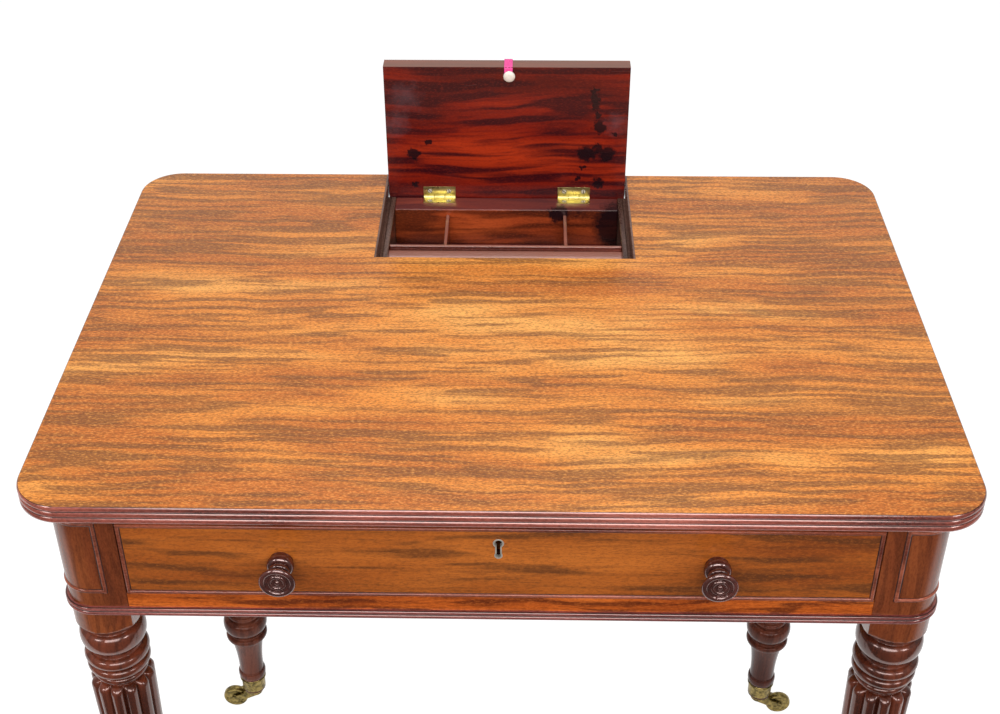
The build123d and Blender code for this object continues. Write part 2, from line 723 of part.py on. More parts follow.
ring_y = (-frieze_y - escutcheon_proud, -frieze_y + escutcheon_depth)
drawer_front -= keyhole(escutcheon_wall, ring_y)
drawer_front -= keyhole(0, (-frieze_y, drawer_front_y))
keep("drawer_front", drawer_front)
keep("escutcheon", keyhole(escutcheon_wall, ring_y) - keyhole(0, ring_y))
lock_case = block((-lock_width / 2, lock_width / 2), (drawer_front_y, drawer_front_y + lock_thickness),
                  (drawer_high_z - lock_height, drawer_high_z))
lock_case -= block(bolt_slot_x, bolt_slot_y, (bolt_z[0], bolt_z[1] + cut_overrun))
lock_case += Pos(0, drawer_front_y - lock_pin_length / 2, keyhole_z) * Rot(90, 0, 0) * Cylinder(
    lock_pin_radius, lock_pin_length)
keep("lock_case", lock_case)

# Castors: a cup on the foot of each leg, a swivelling horn with two cheeks and an axle, and a wheel
cup_neck = foot_spigot_radius + spigot_gap
cup = upright(cup_radius, 0, 0, (castor_height, cup_top_z))
cup += upright(cup_radius + cup_collar_proud, 0, 0, (cup_top_z - cup_collar_height, cup_top_z))
cup -= upright(cup_neck, 0, 0, (leg_foot_z, cup_top_z + cut_overrun))
cup -= upright(pivot_radius + axle_clearance, 0, 0, (castor_height - cut_overrun, cup_top_z))
plate_z = (castor_height - running_gap - horn_plate_thickness, castor_height - running_gap)
horn = upright(horn_plate_radius, 0, 0, plate_z)
horn += upright(pivot_radius, 0, 0, (plate_z[0], leg_foot_z + pivot_length - pivot_socket_gap))
axle_at = Vector(castor_trail, wheel_radius)
plate_at = Vector(0, (plate_z[0] + plate_z[1]) / 2)
across = (axle_at - plate_at).normalized().rotate(Axis.Z, 90) * horn_eye_radius
with BuildSketch(Plane.XZ) as cheek_plan:
    with BuildLine():
        Polyline((-horn_eye_radius, plate_z[0]), (-horn_eye_radius, plate_z[1]), (horn_eye_radius, plate_z[1]),
                 axle_at + across, axle_at - across, (-horn_eye_radius, plate_z[0]))
    make_face()
    with Locations(axle_at):
        Circle(horn_eye_radius)
cheek_in = wheel_width / 2 + horn_cheek_gap
cheek = Pos(0, cheek_in, 0) * extrude(cheek_plan.sketch, horn_cheek_thickness, dir=(0, 1, 0))
horn += cheek
horn += cheek.mirror(Plane.XZ)
horn += Pos(castor_trail, 0, wheel_radius) * Rot(90, 0, 0) * Cylinder(axle_radius, 2 * cheek_in + horn_cheek_thickness)
wheel = Cylinder(wheel_radius, wheel_width)
wheel -= Cylinder(axle_radius + axle_clearance, wheel_width)
wheel = Pos(castor_trail, 0, wheel_radius) * Rot(90, 0, 0) * wheel
cups = []
for corner, (x_sign, y_sign) in corners.items():
    foot = Pos(x_sign * leg_x, y_sign * leg_y, 0)
    turn = Rot(0, 0, castor_angles[corner])
    cups.append(foot * cup)
    keep("castor_horn_" + corner, foot * turn * horn)
    keep("castor_wheel_" + corner, foot * turn * wheel)
keep("castor_cups", *cups)

# One file for each piece or group, in the frame centred under the table's bounding box
os.makedirs("parts", exist_ok=True)
for name, solids in made.items():
    placed = [Pos(0, frame_shift_y, 0) * solid for solid in solids]
    shape = placed[0] if len(placed) == 1 else Compound(children=placed)
    export_step(shape, "parts/" + name + ".step")
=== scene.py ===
import bmesh
import bpy
import json
from math import asin, atan2, cos, pi, radians, sin, sqrt
from mathutils import Matrix, Vector


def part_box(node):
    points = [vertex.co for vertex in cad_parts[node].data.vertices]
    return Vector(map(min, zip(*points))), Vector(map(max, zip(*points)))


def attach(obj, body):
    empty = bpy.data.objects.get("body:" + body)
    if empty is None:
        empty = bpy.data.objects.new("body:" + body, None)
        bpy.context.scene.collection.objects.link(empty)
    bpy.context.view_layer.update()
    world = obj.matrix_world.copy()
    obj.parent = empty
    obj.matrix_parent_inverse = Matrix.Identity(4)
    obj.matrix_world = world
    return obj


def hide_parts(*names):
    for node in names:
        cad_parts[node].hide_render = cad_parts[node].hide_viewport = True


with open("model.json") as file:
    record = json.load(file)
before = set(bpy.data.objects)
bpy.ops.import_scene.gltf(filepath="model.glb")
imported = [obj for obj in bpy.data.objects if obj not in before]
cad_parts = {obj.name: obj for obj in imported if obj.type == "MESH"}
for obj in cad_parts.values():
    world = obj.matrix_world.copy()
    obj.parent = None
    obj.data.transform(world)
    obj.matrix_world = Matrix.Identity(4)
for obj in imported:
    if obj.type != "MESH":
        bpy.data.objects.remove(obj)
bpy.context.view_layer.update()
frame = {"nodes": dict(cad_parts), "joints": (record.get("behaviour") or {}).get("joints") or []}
nodes = frame["nodes"]
MM = 0.001

# Top board
# One wide board of old mahogany, wax polished and faded to gold, with a triple-reeded edge run round its
# front, sides and back. It is notched at the back, where the pen and ink well is let in.
SHARE, UNDER, OVER = 0, 6, 7
CLOUD_STEPS = (0.33, 0.5, 0.68)


def paint(code):
    """A colour written as an sRGB hex value, as the linear colour that a shader takes."""
    parts = [int(code[place:place + 2], 16) / 255 for place in (1, 3, 5)]
    linear = [part / 12.92 if part <= 0.04045 else ((part + 0.055) / 1.055) ** 2.4 for part in parts]
    return (*linear, 1)


def add_node(tree, kind, inputs=None, steps=None, output=None, **settings):
    """Add a node with its settings, and give its named output, or else the first one in use. Each input is a
    value or the output that feeds it, and steps are a ramp's places with the colour or grey share at each."""
    made = tree.nodes.new("ShaderNode" + kind)
    for name, value in settings.items():
        setattr(made, name, value)
    for key, value in (inputs or {}).items():
        if isinstance(value, bpy.types.NodeSocket):
            tree.links.new(value, made.inputs[key])
        else:
            made.inputs[key].default_value = value
    if steps:
        elements = made.color_ramp.elements
        while len(elements) < len(steps):
            elements.new(0.5)
        for element, (place, colour) in zip(elements, steps):
            element.position = place
            element.color = colour if isinstance(colour, tuple) else (colour, colour, colour, 1)
    if output:
        return made.outputs[output]
    return next((socket for socket in made.outputs if socket.enabled), None)


def start_material(name):
    """An empty material, its node tree and the place of each point on its piece."""
    material = bpy.data.materials.new(name)
    material.use_nodes = True
    tree = material.node_tree
    tree.nodes.clear()
    return material, tree, add_node(tree, "TexCoord", output="Object")


def grain_noise(tree, place, axis, long, wide, output=None, **inputs):
    """A noise drawn out along the grain, its spots' spans along and across it given in millimetres."""
    scale = [1 / (MM * (long if side == axis else wide)) for side in range(3)]
    counted = add_node(tree, "VectorMath", {0: place, 1: scale}, operation="MULTIPLY")
    return add_node(tree, "TexNoise", {"Vector": counted, "Scale": 1, "Detail": 2, **inputs}, output=output)


def spots_away(tree, place, spots, wobble):
    """Half of each point's distance from the nearest of some round spots, counted in the spot's radius, their
    rims broken by a noise. A spot is its centre on the piece and its radius, in millimetres, as wobble is."""
    shake = 3 * wobble
    rough = add_node(tree, "TexNoise", {"Vector": place, "Scale": 1 / (wobble * MM), "Detail": 3},
                     output="Color")
    shaken = add_node(tree, "VectorMath", {0: rough, 1: [shake * MM] * 3, 2: place}, operation="MULTIPLY_ADD")
    nearest = None
    for *centre, radius in spots:
        middle = [(value + shake / 2) * MM for value in centre]
        away = add_node(tree, "VectorMath", {0: shaken, 1: middle}, operation="DISTANCE")
        away = add_node(tree, "Math", {0: away, 1: radius * MM}, operation="DIVIDE")
        if nearest:
            away = add_node(tree, "Math", {0: away, 1: nearest}, operation="MINIMUM")
        nearest = away
    return add_node(tree, "Math", {0: nearest, 1: 0.5}, operation="MULTIPLY")


def mahogany(name, axis, colours, width=9, length=110, wander=14, heart=None, stripes=0.75, fibre=0.5,
             gloss=0.25, shine=1.5, ink_and_shade=(), bloom=(), edge=None, light=None, outside=None):
    """Polished mahogany whose grain runs along one axis: wavy broken ribbon stripes in clouds of colour,
    crossed by dark pores and pale flecks. Real pores are about 0.2 mm wide, and are drawn coarser, to show.
    The colours are pale, middle, deep and stripe. Faint long ovals may close round a heart, and a painted pool
    of light may make the wood palest about one place. Ink soaks in at some spots, dark painted shade is laid at
    others, polish blooms at others, and faces that face up may take another colour by their facing, as painted
    light and shade. A board may have other colours on its outside, which faces back."""
    pale, middle, deep, stripe = [paint(code) for code in colours]
    material, tree, place = start_material(name)

    def far_from(centre, reach):
        middle = [value * MM for value in centre]
        away = add_node(tree, "VectorMath", {0: place, 1: middle}, operation="SUBTRACT")
        scale = [1 / (value * MM) for value in reach]
        away = add_node(tree, "VectorMath", {0: away, 1: scale}, operation="MULTIPLY")
        return add_node(tree, "VectorMath", {0: away}, operation="LENGTH")

    grain = place
    for long, wide, sway in ((260, 150, wander), (55, 60, wander * 0.25)):
        drift = grain_noise(tree, place, axis, long, wide, output="Color", Detail=1)
        across = [0 if side == axis else 2 * sway * MM for side in range(3)]
        grain = add_node(tree, "VectorMath", {0: drift, 1: across, 2: grain}, operation="MULTIPLY_ADD")
    clouds = grain_noise(tree, grain, axis, 200, 45)
    ribbons = grain_noise(tree, grain, axis, length, width, Roughness=0.35, Distortion=0.15)
    lines = grain_noise(tree, grain, axis, length * 0.6, width * 0.35)
    fibres = grain_noise(tree, place, axis, 5, 0.9, Roughness=0.7)
    flecks = grain_noise(tree, place, axis, 3, 1.1, Roughness=0.7)
    # A painted pool of light: paler and plainer wood about one place.
    if light:
        away = far_from(*light)
        near = add_node(tree, "MapRange", {"Value": away, "To Min": 0.1, "To Max": -0.1})
        clouds = add_node(tree, "Math", {0: clouds, 1: near}, operation="ADD")
        clear = add_node(tree, "MapRange", {"Value": away, "To Min": -0.07, "To Max": 0.03})
        ribbons = add_node(tree, "Math", {0: ribbons, 1: clear}, operation="ADD")
    colour = add_node(tree, "ValToRGB", {"Fac": clouds}, list(zip(CLOUD_STEPS, (deep, middle, pale))))
    normal = add_node(tree, "TexCoord", output="Normal")
    if outside:
        back = add_node(tree, "SeparateXYZ", {"Vector": normal}, output="Y")
        back = add_node(tree, "ValToRGB", {"Fac": back}, [(0.5, 0), (0.52, 1)])
        tones = [paint(code) for code in outside]
        cloudy = add_node(tree, "ValToRGB", {"Fac": clouds}, list(zip(CLOUD_STEPS, tones[2::-1])))
        colour, pale, stripe = [
            add_node(tree, "Mix", {SHARE: back, UNDER: own, OVER: tone}, data_type="RGBA")
            for own, tone in ((colour, cloudy), (pale, tones[0]), (stripe, tones[3]))]
    layers = [
        (ribbons, [(0.47, 0), (0.6, stripes)], stripe),
        (lines, [(0.48, 0), (0.68, stripes * 0.5)], stripe),
        (flecks, [(0.5, 0), (0.64, fibre * 0.6)], stripe),
        (fibres, [(0.52, 0), (0.7, fibre * 0.6)], stripe),
        (flecks, [(0.34, fibre * 0.5), (0.48, 0)], pale),
    ]
    if heart:
        heart_reach = (150, 55, 1000)
        ring_turns, ring_sway = 24, 9
        inside = far_from(heart, heart_reach)
        rings = add_node(tree, "Math", {0: inside, 1: ring_turns}, operation="MULTIPLY")
        rings = add_node(tree, "Math", {0: ribbons, 1: ring_sway, 2: rings}, operation="MULTIPLY_ADD")
        rings = add_node(tree, "Math", {0: rings}, operation="SINE")
        fall = add_node(tree, "MapRange", {"Value": inside, "From Min": 0.3, "To Min": 0.3, "To Max": 0})
        rings = add_node(tree, "Math", {0: rings, 1: fall}, operation="MULTIPLY")
        layers.append((rings, [(0, 0), (1, 1)], deep))
    # Faces that face up take another colour by their facing: painted light and shade.
    if edge:
        upward = add_node(tree, "SeparateXYZ", {"Vector": normal}, output="Z")
        layers.append((upward, [(0.6, 0), (0.8, 0.65)], paint(edge)))
    if bloom:
        layers.append((spots_away(tree, place, bloom, 7), [(0.05, 0.1), (0.6, 0)], paint("#9A8A96")))
    # Dark spots: ink stains, and painted shade, such as inside a keyhole.
    if ink_and_shade:
        layers.append((spots_away(tree, place, ink_and_shade, 4), [(0.4, 0.92), (0.58, 0)], paint("#140A10")))
    for share, steps, laid in layers:
        share = add_node(tree, "ValToRGB", {"Fac": share}, steps)
        colour = add_node(tree, "Mix", {SHARE: share, UNDER: colour, OVER: laid}, data_type="RGBA")
    dull = add_node(tree, "MapRange", {"Value": ribbons, "To Min": gloss - 0.04, "To Max": gloss + 0.06})
    arris = add_node(tree, "Bevel", {"Radius": 0.6 * MM}, samples=4)
    bump = add_node(tree, "Bump", {"Height": fibres, "Strength": 0.25, "Distance": 0.15 * MM,
                                   "Normal": arris})
    shader = add_node(tree, "BsdfPrincipled", {"Base Color": colour, "Roughness": dull, "Normal": bump,
                                               "IOR": shine, "Specular Tint": paint("#FFE2DC")})
    add_node(tree, "OutputMaterial", {"Surface": shader})
    return material


def join_part(tool, part):
    """Add one part's mesh to a tool, and free the part."""
    mesh = bpy.data.meshes.new("part")
    part.to_mesh(mesh)
    part.free()
    tool.from_mesh(mesh)
    bpy.data.meshes.remove(mesh)


def finish_piece(name, tool, materials, body, replaces, sharp=35):
    """Turn a finished tool into a piece that rides on a body and stands for its CAD nodes."""
    bmesh.ops.recalc_face_normals(tool, faces=tool.faces)
    mesh = bpy.data.meshes.new(name)
    tool.to_mesh(mesh)
    tool.free()
    mesh.shade_smooth()
    mesh.set_sharp_from_angle(angle=radians(sharp))
    for material in materials:
        mesh.materials.append(material)
    piece = bpy.data.objects.new(name, mesh)
    bpy.context.scene.collection.objects.link(piece)
    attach(piece, body)
    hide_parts(*replaces)
    return piece


def dress(material, *names):
    """Give CAD nodes a material."""
    for name in names:
        nodes[name].data.materials.clear()
        nodes[name].data.materials.append(material)


def grow_ring(tool, edges, set_out):
    """Grow a ring of edges by one step, each new vertex going where set_out says."""
    grown = bmesh.ops.extrude_edge_only(tool, edges=edges)["geom"]
    moved = {item for item in grown if isinstance(item, bmesh.types.BMVert)}
    for vert in moved:
        vert.co = set_out(vert.co)
    return [item for item in grown if isinstance(item, bmesh.types.BMEdge) and set(item.verts) <= moved]


def sized_at(middle, size):
    """The matrix that gives a unit shape its size and its place."""
    return Matrix.Translation(middle) @ Matrix.Diagonal((*size, 1))


def rounded_board(tool, low, high, corner, outline, hollow=False):
    """A board with rounded corners, its edge given from its foot to its head as pairs of reach and height. A
    hollow one is a frame, closed on itself inside."""
    middle = (low + high) / 2
    half = (high - low) / 2
    core = Vector((half.x - corner, half.y - corner))
    sheet = bmesh.ops.create_grid(tool, x_segments=1, y_segments=1, size=1,
                                  matrix=sized_at(middle, (half.x, half.y, 1)))["verts"]
    bmesh.ops.bevel(tool, geom=sheet, offset=corner, segments=16, profile=0.5, affect="VERTICES", material=-1)
    first = tool.edges[:]

    def out_to(reach, height):
        def set_out(co):
            place = Vector((co.x - middle.x, co.y - middle.y))
            near = Vector((max(-core.x, min(core.x, place.x)), max(-core.y, min(core.y, place.y))))
            away = (place - near).normalized() * (corner + reach)
            return Vector((middle.x + near.x + away.x, middle.y + near.y + away.y, height))
        return set_out

    for vert in tool.verts:
        vert.co = out_to(*outline[0])(vert.co)
    if hollow:
        bmesh.ops.delete(tool, geom=tool.faces[:], context="FACES_ONLY")
    edges = first
    for reach, height in outline[1:]:
        edges = grow_ring(tool, edges, out_to(reach, height))
    if hollow:
        bmesh.ops.bridge_loops(tool, edges=first + edges)
    else:
        bmesh.ops.edgeloop_fill(tool, edges=edges)


def reeds(low, high, count, proud, steps=12):
    """The outer side of a reeded edge, from its foot to its head, as pairs of reach and height."""
    pitch = (high - low) / count
    radius = (pitch * pitch / 4 + proud * proud) / (2 * proud)
    half = asin(pitch / 2 / radius)
    outline = [(-proud, low)]
    for reed in range(count):
        for step in range(1, steps + 1):
            angle = half * (2 * step / steps - 1)
            outline.append((radius * (cos(angle) - 1), low + (reed + 0.5) * pitch + radius * sin(angle)))
    return outline


def is_edge(face, flat=0.97):
    """Whether a face belongs to a board's edge, and not to its flat top or underside."""
    return abs(face.normal.z) < flat


def darken_grooves(tool, low, high, count, wood, half_width=0.4 * MM):
    """Give the faces beside each groove of a reeded edge another material: the dark one, painted shade with old
    wax.
    """
    pitch = (high - low) / count
    thin = 0.2
    for face in tool.faces:
        heights = [(vert.co.z - low) / pitch for vert in face.verts]
        middle = (min(heights) + max(heights)) / 2
        if max(heights) - min(heights) < thin and 0 < middle < count:
            if abs(middle - round(middle)) * pitch < half_width and is_edge(face):
                face.material_index = wood


# The top is faded gold with a low waxed sheen and fine dark pores, palest in its middle, where a pool of light
# is
# painted. Its reeds keep the old red-brown and a brighter polish, and their grooves are painted nearly black:
# painted shade, and old wax.
gold = ("#F6AC58", "#E48C3A")
top_mahogany = mahogany("wax_polished_mahogany_top", 0, (*gold, "#C46C2A", "#6C4222"), width=6, length=120,
                        heart=(150, 5, 735), stripes=0.7, fibre=0.9, shine=1.42,
                        light=((10, -30, 735), (380, 200, 1000)))
reed_mahogany = mahogany("wax_polished_mahogany_reeds", 0, ("#BE6A5A", "#924638", "#5E261E", "#260C0A"),
                         gloss=0.14, stripes=0.3, shine=2.1)
# A near-black material for grooves, quirks and slots: painted shade there, with old wax.
shade_and_old_wax = mahogany("old_wax_in_grooves", 0, ("#3A1A10", "#2A100A", "#1C0A07", "#120604"), gloss=0.3)
top_low, top_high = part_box("top_board")
top_corner = 37 * MM
top_reeds = 3
top_reed_proud = 1.3 * MM
centre_y = (top_low.y + top_high.y) / 2
under_top_z = top_low.z
notch_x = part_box("well_side_right")[1].x
notch_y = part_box("well_side_right")[0].y
same_place = 0.01 * MM
off_walls = (lambda co: co.x + notch_x, lambda co: co.x - notch_x, lambda co: co.y - notch_y)
tool = bmesh.new()
rounded_board(tool, top_low, top_high, top_corner, reeds(top_low.z, top_high.z, top_reeds, top_reed_proud))
for place, normal in (((notch_x, 0, 0), (1, 0, 0)), ((-notch_x, 0, 0), (1, 0, 0)),
                      ((0, notch_y, 0), (0, 1, 0))):
    everything = tool.verts[:] + tool.edges[:] + tool.faces[:]
    bmesh.ops.bisect_plane(tool, geom=everything, plane_co=place, plane_no=normal)
middles = {face: face.calc_center_median() for face in tool.faces}
in_notch = [face for face, middle in middles.items() if abs(middle.x) < notch_x and middle.y > notch_y]
bmesh.ops.delete(tool, geom=in_notch, context="FACES")
for off_side in off_walls[:2]:
    tool.edges.new([vert for vert in tool.verts if vert.link_faces and abs(off_side(vert.co)) < same_place
                    and abs(off_walls[2](vert.co)) < same_place])
rim = [edge for edge in tool.edges if edge.is_boundary or edge.is_wire]
for off_wall in off_walls:
    wall = [edge for edge in rim if all(abs(off_wall(vert.co)) < same_place for vert in edge.verts)]
    bmesh.ops.contextual_create(tool, geom=wall)
tool.normal_update()
for face in tool.faces:
    face.material_index = 1 if is_edge(face) else 0
darken_grooves(tool, top_low.z, top_high.z, top_reeds, 2)
finish_piece("top_board_reeded", tool, [top_mahogany, reed_mahogany, shade_and_old_wax], "table",
             ["top_board"])
dress(top_mahogany, "top_board")

# Frieze rails
# Straight mahogany rails tenoned between the posts. The sides and back are polished dark, with a quiet
# figure, and the rail under the drawer is a redder, brighter piece with short flames in it.
dark_colours = ("#924C2A", "#7E4022", "#68341B", "#44220F")
side_mahogany = mahogany("polished_mahogany_side_rail", 1, dark_colours, width=8, stripes=0.5)
back_mahogany = mahogany("polished_mahogany_back_rail", 0, dark_colours, width=8, stripes=0.5)
strip_mahogany = mahogany("polished_mahogany_front_rail", 0, ("#E47A30", "#C65E1E", "#964012", "#4C1C0A"),
                          width=5, length=70, gloss=0.2)
dress(side_mahogany, "side_rail_left", "side_rail_right")
dress(back_mahogany, "back_rail")
dress(strip_mahogany, "front_top_rail", "front_bottom_rail")

# Legs
# Each leg is one stick: a square post with its outer corner rounded, then a turning of rings and a long
# twelve-reed shaft above a turned foot. The wood is dense red-brown mahogany with a dark, glassy polish.
post_size = 53 * MM
frieze_corner = 24 * MM
turn_radius = 27 * MM
shoulder_height = 26 * MM
shoulder_drop = 13 * MM
head_height = 65 * MM
foot_height = 115 * MM
peg_radius = 13.9 * MM
peg_clearance = 2 * MM
arris_cut = 0.5 * MM
reed_count = 12
reed_top_radius = 26.8 * MM
reed_low_radius = 19.5 * MM
reed_end = 6 * MM
ring_steps = 96
head_members = (
    ("band", 2, 0.85),
    ("hollow", 3.5, 0.82, 0.78, 0.8),
    ("round", 21, 0.81, 0.995, 0.8),
    ("band", 1.5, 0.78),
    ("hollow", 4.5, 0.78, 0.75, 0.78),
    ("round", 11, 0.82, 0.98, 0.82),
    ("band", 1, 0.8),
    ("round", 10.5, 0.82, 0.955, 0.77),
    ("band", 1.5, 0.73),
    ("round", 6, 0.74, 0.83, 0.74),
    ("band", 2.5, 0.72),
)
foot_members = (
    ("band", 3, 0.63),
    ("round", 6, 0.67, 0.74, 0.67),
    ("band", 1.5, 0.67),
    ("round", 21, 0.76, 0.96, 0.76),
    ("band", 2, 0.74),
    ("hollow", 3, 0.78, 0.76, 0.78),
    ("round", 8, 0.81, 0.91, 0.81),
    ("band", 2.5, 0.82, 0.82, 0.8),
    ("hollow", 55, 0.72, 0.57, 0.54),
    ("band", 1, 0.56),
    ("round", 10, 0.57, 0.61, 0.57),
    ("band", 2, 0.55),
)
# The turned parts are a deep red-brown and glassy, so that rings and reeds show by their highlights. The post
# is lighter and plainer, and the foot's polish is worn, so that it mirrors less.
leg_mahogany = mahogany("polished_mahogany_leg", 2, ("#743824", "#502416", "#34130C", "#1A0806"), width=5,
                        stripes=0.4, fibre=0.3, gloss=0.12, shine=1.78)
post_mahogany = mahogany("polished_mahogany_post", 2, ("#924C26", "#78391C", "#5A2814", "#34140B"), width=5,
                         stripes=0.4, fibre=0.4, gloss=0.22)
foot_mahogany = mahogany("handled_mahogany_foot", 2, ("#744030", "#582C20", "#3C1A12", "#1A0808"), width=5,
                         stripes=0.4, fibre=0.3, gloss=0.13, shine=1.3)


def turning(members, radius, top, low, steps=10):
    """A turning's outline from its top to its foot, as pairs of radius and height. Each member has its height
    and its radius where it starts, half-way and where it ends, as shares of the whole, and a plain band just
    one radius."""
    total = sum(member[1] for member in members)
    outline = []
    z = top
    for form, height, start, *later in members:
        middle, end = later or (start, start)
        drop = (top - low) * height / total
        count = 1 if form == "band" else steps
        for step in range(count + 1):
            share = step / count
            bow = 1 - (2 * share - 1) ** 2
            swell = (middle - (start + end) / 2) * (sqrt(bow) if form == "round" else bow)
            outline.append((radius * (start + (end - start) * share + swell), z - drop * share))
        z -= drop
    return outline


def spun(tool, outline, x, y, steps=ring_steps):
    """Spin an outline of radius and height about an upright axis, its ends closed on the axis."""
    points = [(0, outline[0][1]), *outline, (0, outline[-1][1])]
    verts = [tool.verts.new((x + radius, y, z)) for radius, z in points]
    edges = [tool.edges.new((verts[place], verts[place + 1])) for place in range(len(verts) - 1)]
    bmesh.ops.spin(tool, geom=edges, cent=(x, y, 0), axis=(0, 0, 1), angle=2 * pi, steps=steps,
                   use_merge=True)
    bmesh.ops.remove_doubles(tool, verts=tool.verts, dist=0.001 * MM)


def at_reach(reach_at, x, y, z):
    """Set a vertex out from an upright axis to the reach that its own angle asks for."""
    def set_out(co):
        angle = atan2(co.y - y, co.x - x)
        reach = reach_at(angle)
        return Vector((x + reach * cos(angle), y + reach * sin(angle), z))
    return set_out


def leg_post(tool, x, y, x_sign, y_sign, top, shoulder):
    """The square post, its outer corner rounded, its other arrises softened and its foot rounded in to the
    turning."""
    half = post_size / 2
    inset = half - frieze_corner
    foot = turn_radius * head_members[0][2]
    widest = half * sqrt(2)
    levels = 12

    def square(angle):
        out_x, out_y = cos(angle) * x_sign, sin(angle) * y_sign
        reach = half / max(abs(out_x), abs(out_y))
        if min(out_x, out_y) > 0 and min(out_x, out_y) * reach > inset:
            middle = inset * (out_x + out_y)
            reach = middle + sqrt(middle ** 2 - 2 * inset ** 2 + frieze_corner ** 2)
        return min(reach, widest - arris_cut)

    ring = bmesh.ops.create_circle(tool, cap_ends=True, segments=ring_steps, radius=half)["verts"]
    for vert in ring:
        vert.co = at_reach(square, 0, 0, top)(vert.co) + Vector((x, y, 0))
    edges = list({edge for vert in ring for edge in vert.link_edges})
    edges = grow_ring(tool, edges, at_reach(square, x, y, shoulder + shoulder_drop))
    for step in range(1, levels + 1):
        left = 1 - step / levels
        limit = foot + (widest - foot) * left ** 0.95
        height = shoulder + shoulder_drop * left
        edges = grow_ring(tool, edges, at_reach(lambda angle: min(square(angle), limit), x, y, height))
    bmesh.ops.edgeloop_fill(tool, edges=edges)


def reeded_shaft(tool, x, y, top, low):
    """The tapered shaft: twelve nearly half-round reeds, each one rounded over at both ends."""
    rod_middle = 0.792
    rod = 1 - rod_middle
    waist = 0.7

    def lobe(angle):
        step = 2 * pi / reed_count
        turn = (angle + step / 2) % step - step / 2
        return rod_middle * cos(turn) + sqrt(max(0, rod ** 2 - (rod_middle * sin(turn)) ** 2))

    ends = [pi / 2 * step / 8 for step in range(9)]
    levels = [(top - reed_end * (1 - cos(end)), sin(end)) for end in ends]
    levels += [(low + reed_end * (1 - sin(end)), cos(end)) for end in ends]
    ring = bmesh.ops.create_circle(tool, cap_ends=True, segments=reed_count * 20,
                                   radius=0.5 * reed_top_radius)["verts"]
    edges = list({edge for vert in ring for edge in vert.link_edges})
    bmesh.ops.translate(tool, verts=ring, vec=(x, y, top))
    for height, fullness in levels:
        radius = reed_low_radius + (reed_top_radius - reed_low_radius) * (height - low) / (top - low)
        edges = grow_ring(tool, edges, at_reach(
            lambda angle: radius * (waist + (lobe(angle) - waist) * fullness), x, y, height))
    bmesh.ops.edgeloop_fill(tool, edges=edges)


frieze_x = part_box("side_rail_right")[1].x
frieze_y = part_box("back_rail")[1].y - centre_y
cup_top_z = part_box("castor_cups")[1].z
leg_low_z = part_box("leg_front_left")[0].z
leg_x = frieze_x - post_size / 2
leg_y = frieze_y - post_size / 2
shoulder_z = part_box("side_rail_left")[0].z - shoulder_height
reeds_top_z = shoulder_z - head_height
reeds_low_z = cup_top_z + foot_height
head_outline = turning(head_members, turn_radius, shoulder_z, reeds_top_z)
foot_outline = turning(foot_members, turn_radius, reeds_low_z, cup_top_z)
foot_outline += [(peg_radius, cup_top_z), (peg_radius, leg_low_z + peg_clearance)]
corners = {"front_left": (-1, -1), "front_right": (1, -1), "back_left": (-1, 1), "back_right": (1, 1)}
for corner, (x_sign, y_sign) in corners.items():
    x, y = x_sign * leg_x, centre_y + y_sign * leg_y
    tool = bmesh.new()
    leg_post(tool, x, y, x_sign, y_sign, under_top_z, shoulder_z)
    for face in tool.faces:
        face.material_index = 1
    for wood, part_outline in ((0, head_outline), (2, foot_outline)):
        part = bmesh.new()
        spun(part, part_outline, x, y)
        for face in part.faces:
            face.material_index = wood
        join_part(tool, part)
    reeded_shaft(tool, x, y, reeds_top_z, reeds_low_z)
    finish_piece("leg_turned_" + corner, tool, [leg_mahogany, post_mahogany, foot_mahogany], "table",
                 ["leg_" + corner], 42)
dress(leg_mahogany, *["leg_" + corner for corner in corners])

# Panel beads and base moulding
# A thin half-round bead is planted on each post in a rectangle that wraps round its corner, and two reeds run
# round the foot of the frieze. Both shine in a thin bright line, between quirks painted dark as shade and old
# wax.
trim_mahogany = mahogany("polished_mahogany_trim", 0, ("#B8644A", "#90482E", "#66291C", "#34120C"),
                         stripes=0.3, gloss=0.14, shine=1.75)
bead_width = 3 * MM
bead_proud = 1.2 * MM
bead_run = 14 * MM
quirk_width = 0.7 * MM
let_in = 0.5 * MM
bead_low, bead_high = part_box("panel_beads")
bead_x = frieze_x - frieze_corner
bead_y = frieze_y - frieze_corner


def bead_section(width, proud, quirk, steps=8):
    """A half-round bead between two quirks, as pairs of reach and place across it."""
    film = 0.05 * MM
    turns = [pi * step / steps for step in range(steps + 1)]
    arc = [(proud * sin(turn), width / 2 * (1 - cos(turn))) for turn in turns]
    return [(-let_in, -quirk), (film, -quirk), *arc, (film, width + quirk), (-let_in, width + quirk)]


def run_section(tool, points, moves):
    """Run a closed section along straight moves, and along turns that are each a place on an upright axis and
    an angle, and close both ends."""
    verts = [tool.verts.new(point) for point in points]
    edges = [tool.edges.new((verts[place - 1], verts[place])) for place in range(len(verts))]
    tool.faces.new(verts)
    for move in moves:
        if len(move) == 2:
            grown = bmesh.ops.spin(tool, geom=edges, cent=move[0], axis=(0, 0, 1), angle=move[1], steps=14)
            edges = [item for item in grown["geom_last"] if isinstance(item, bmesh.types.BMEdge)]
        else:
            edges = grow_ring(tool, edges, lambda co: co + Vector(move))
    bmesh.ops.edgeloop_fill(tool, edges=edges)


def bead_reach(co):
    """How far a point stands out from the face of a post."""
    return Vector((max(0, co.x - bead_x), max(0, co.y - bead_y))).length - frieze_corner


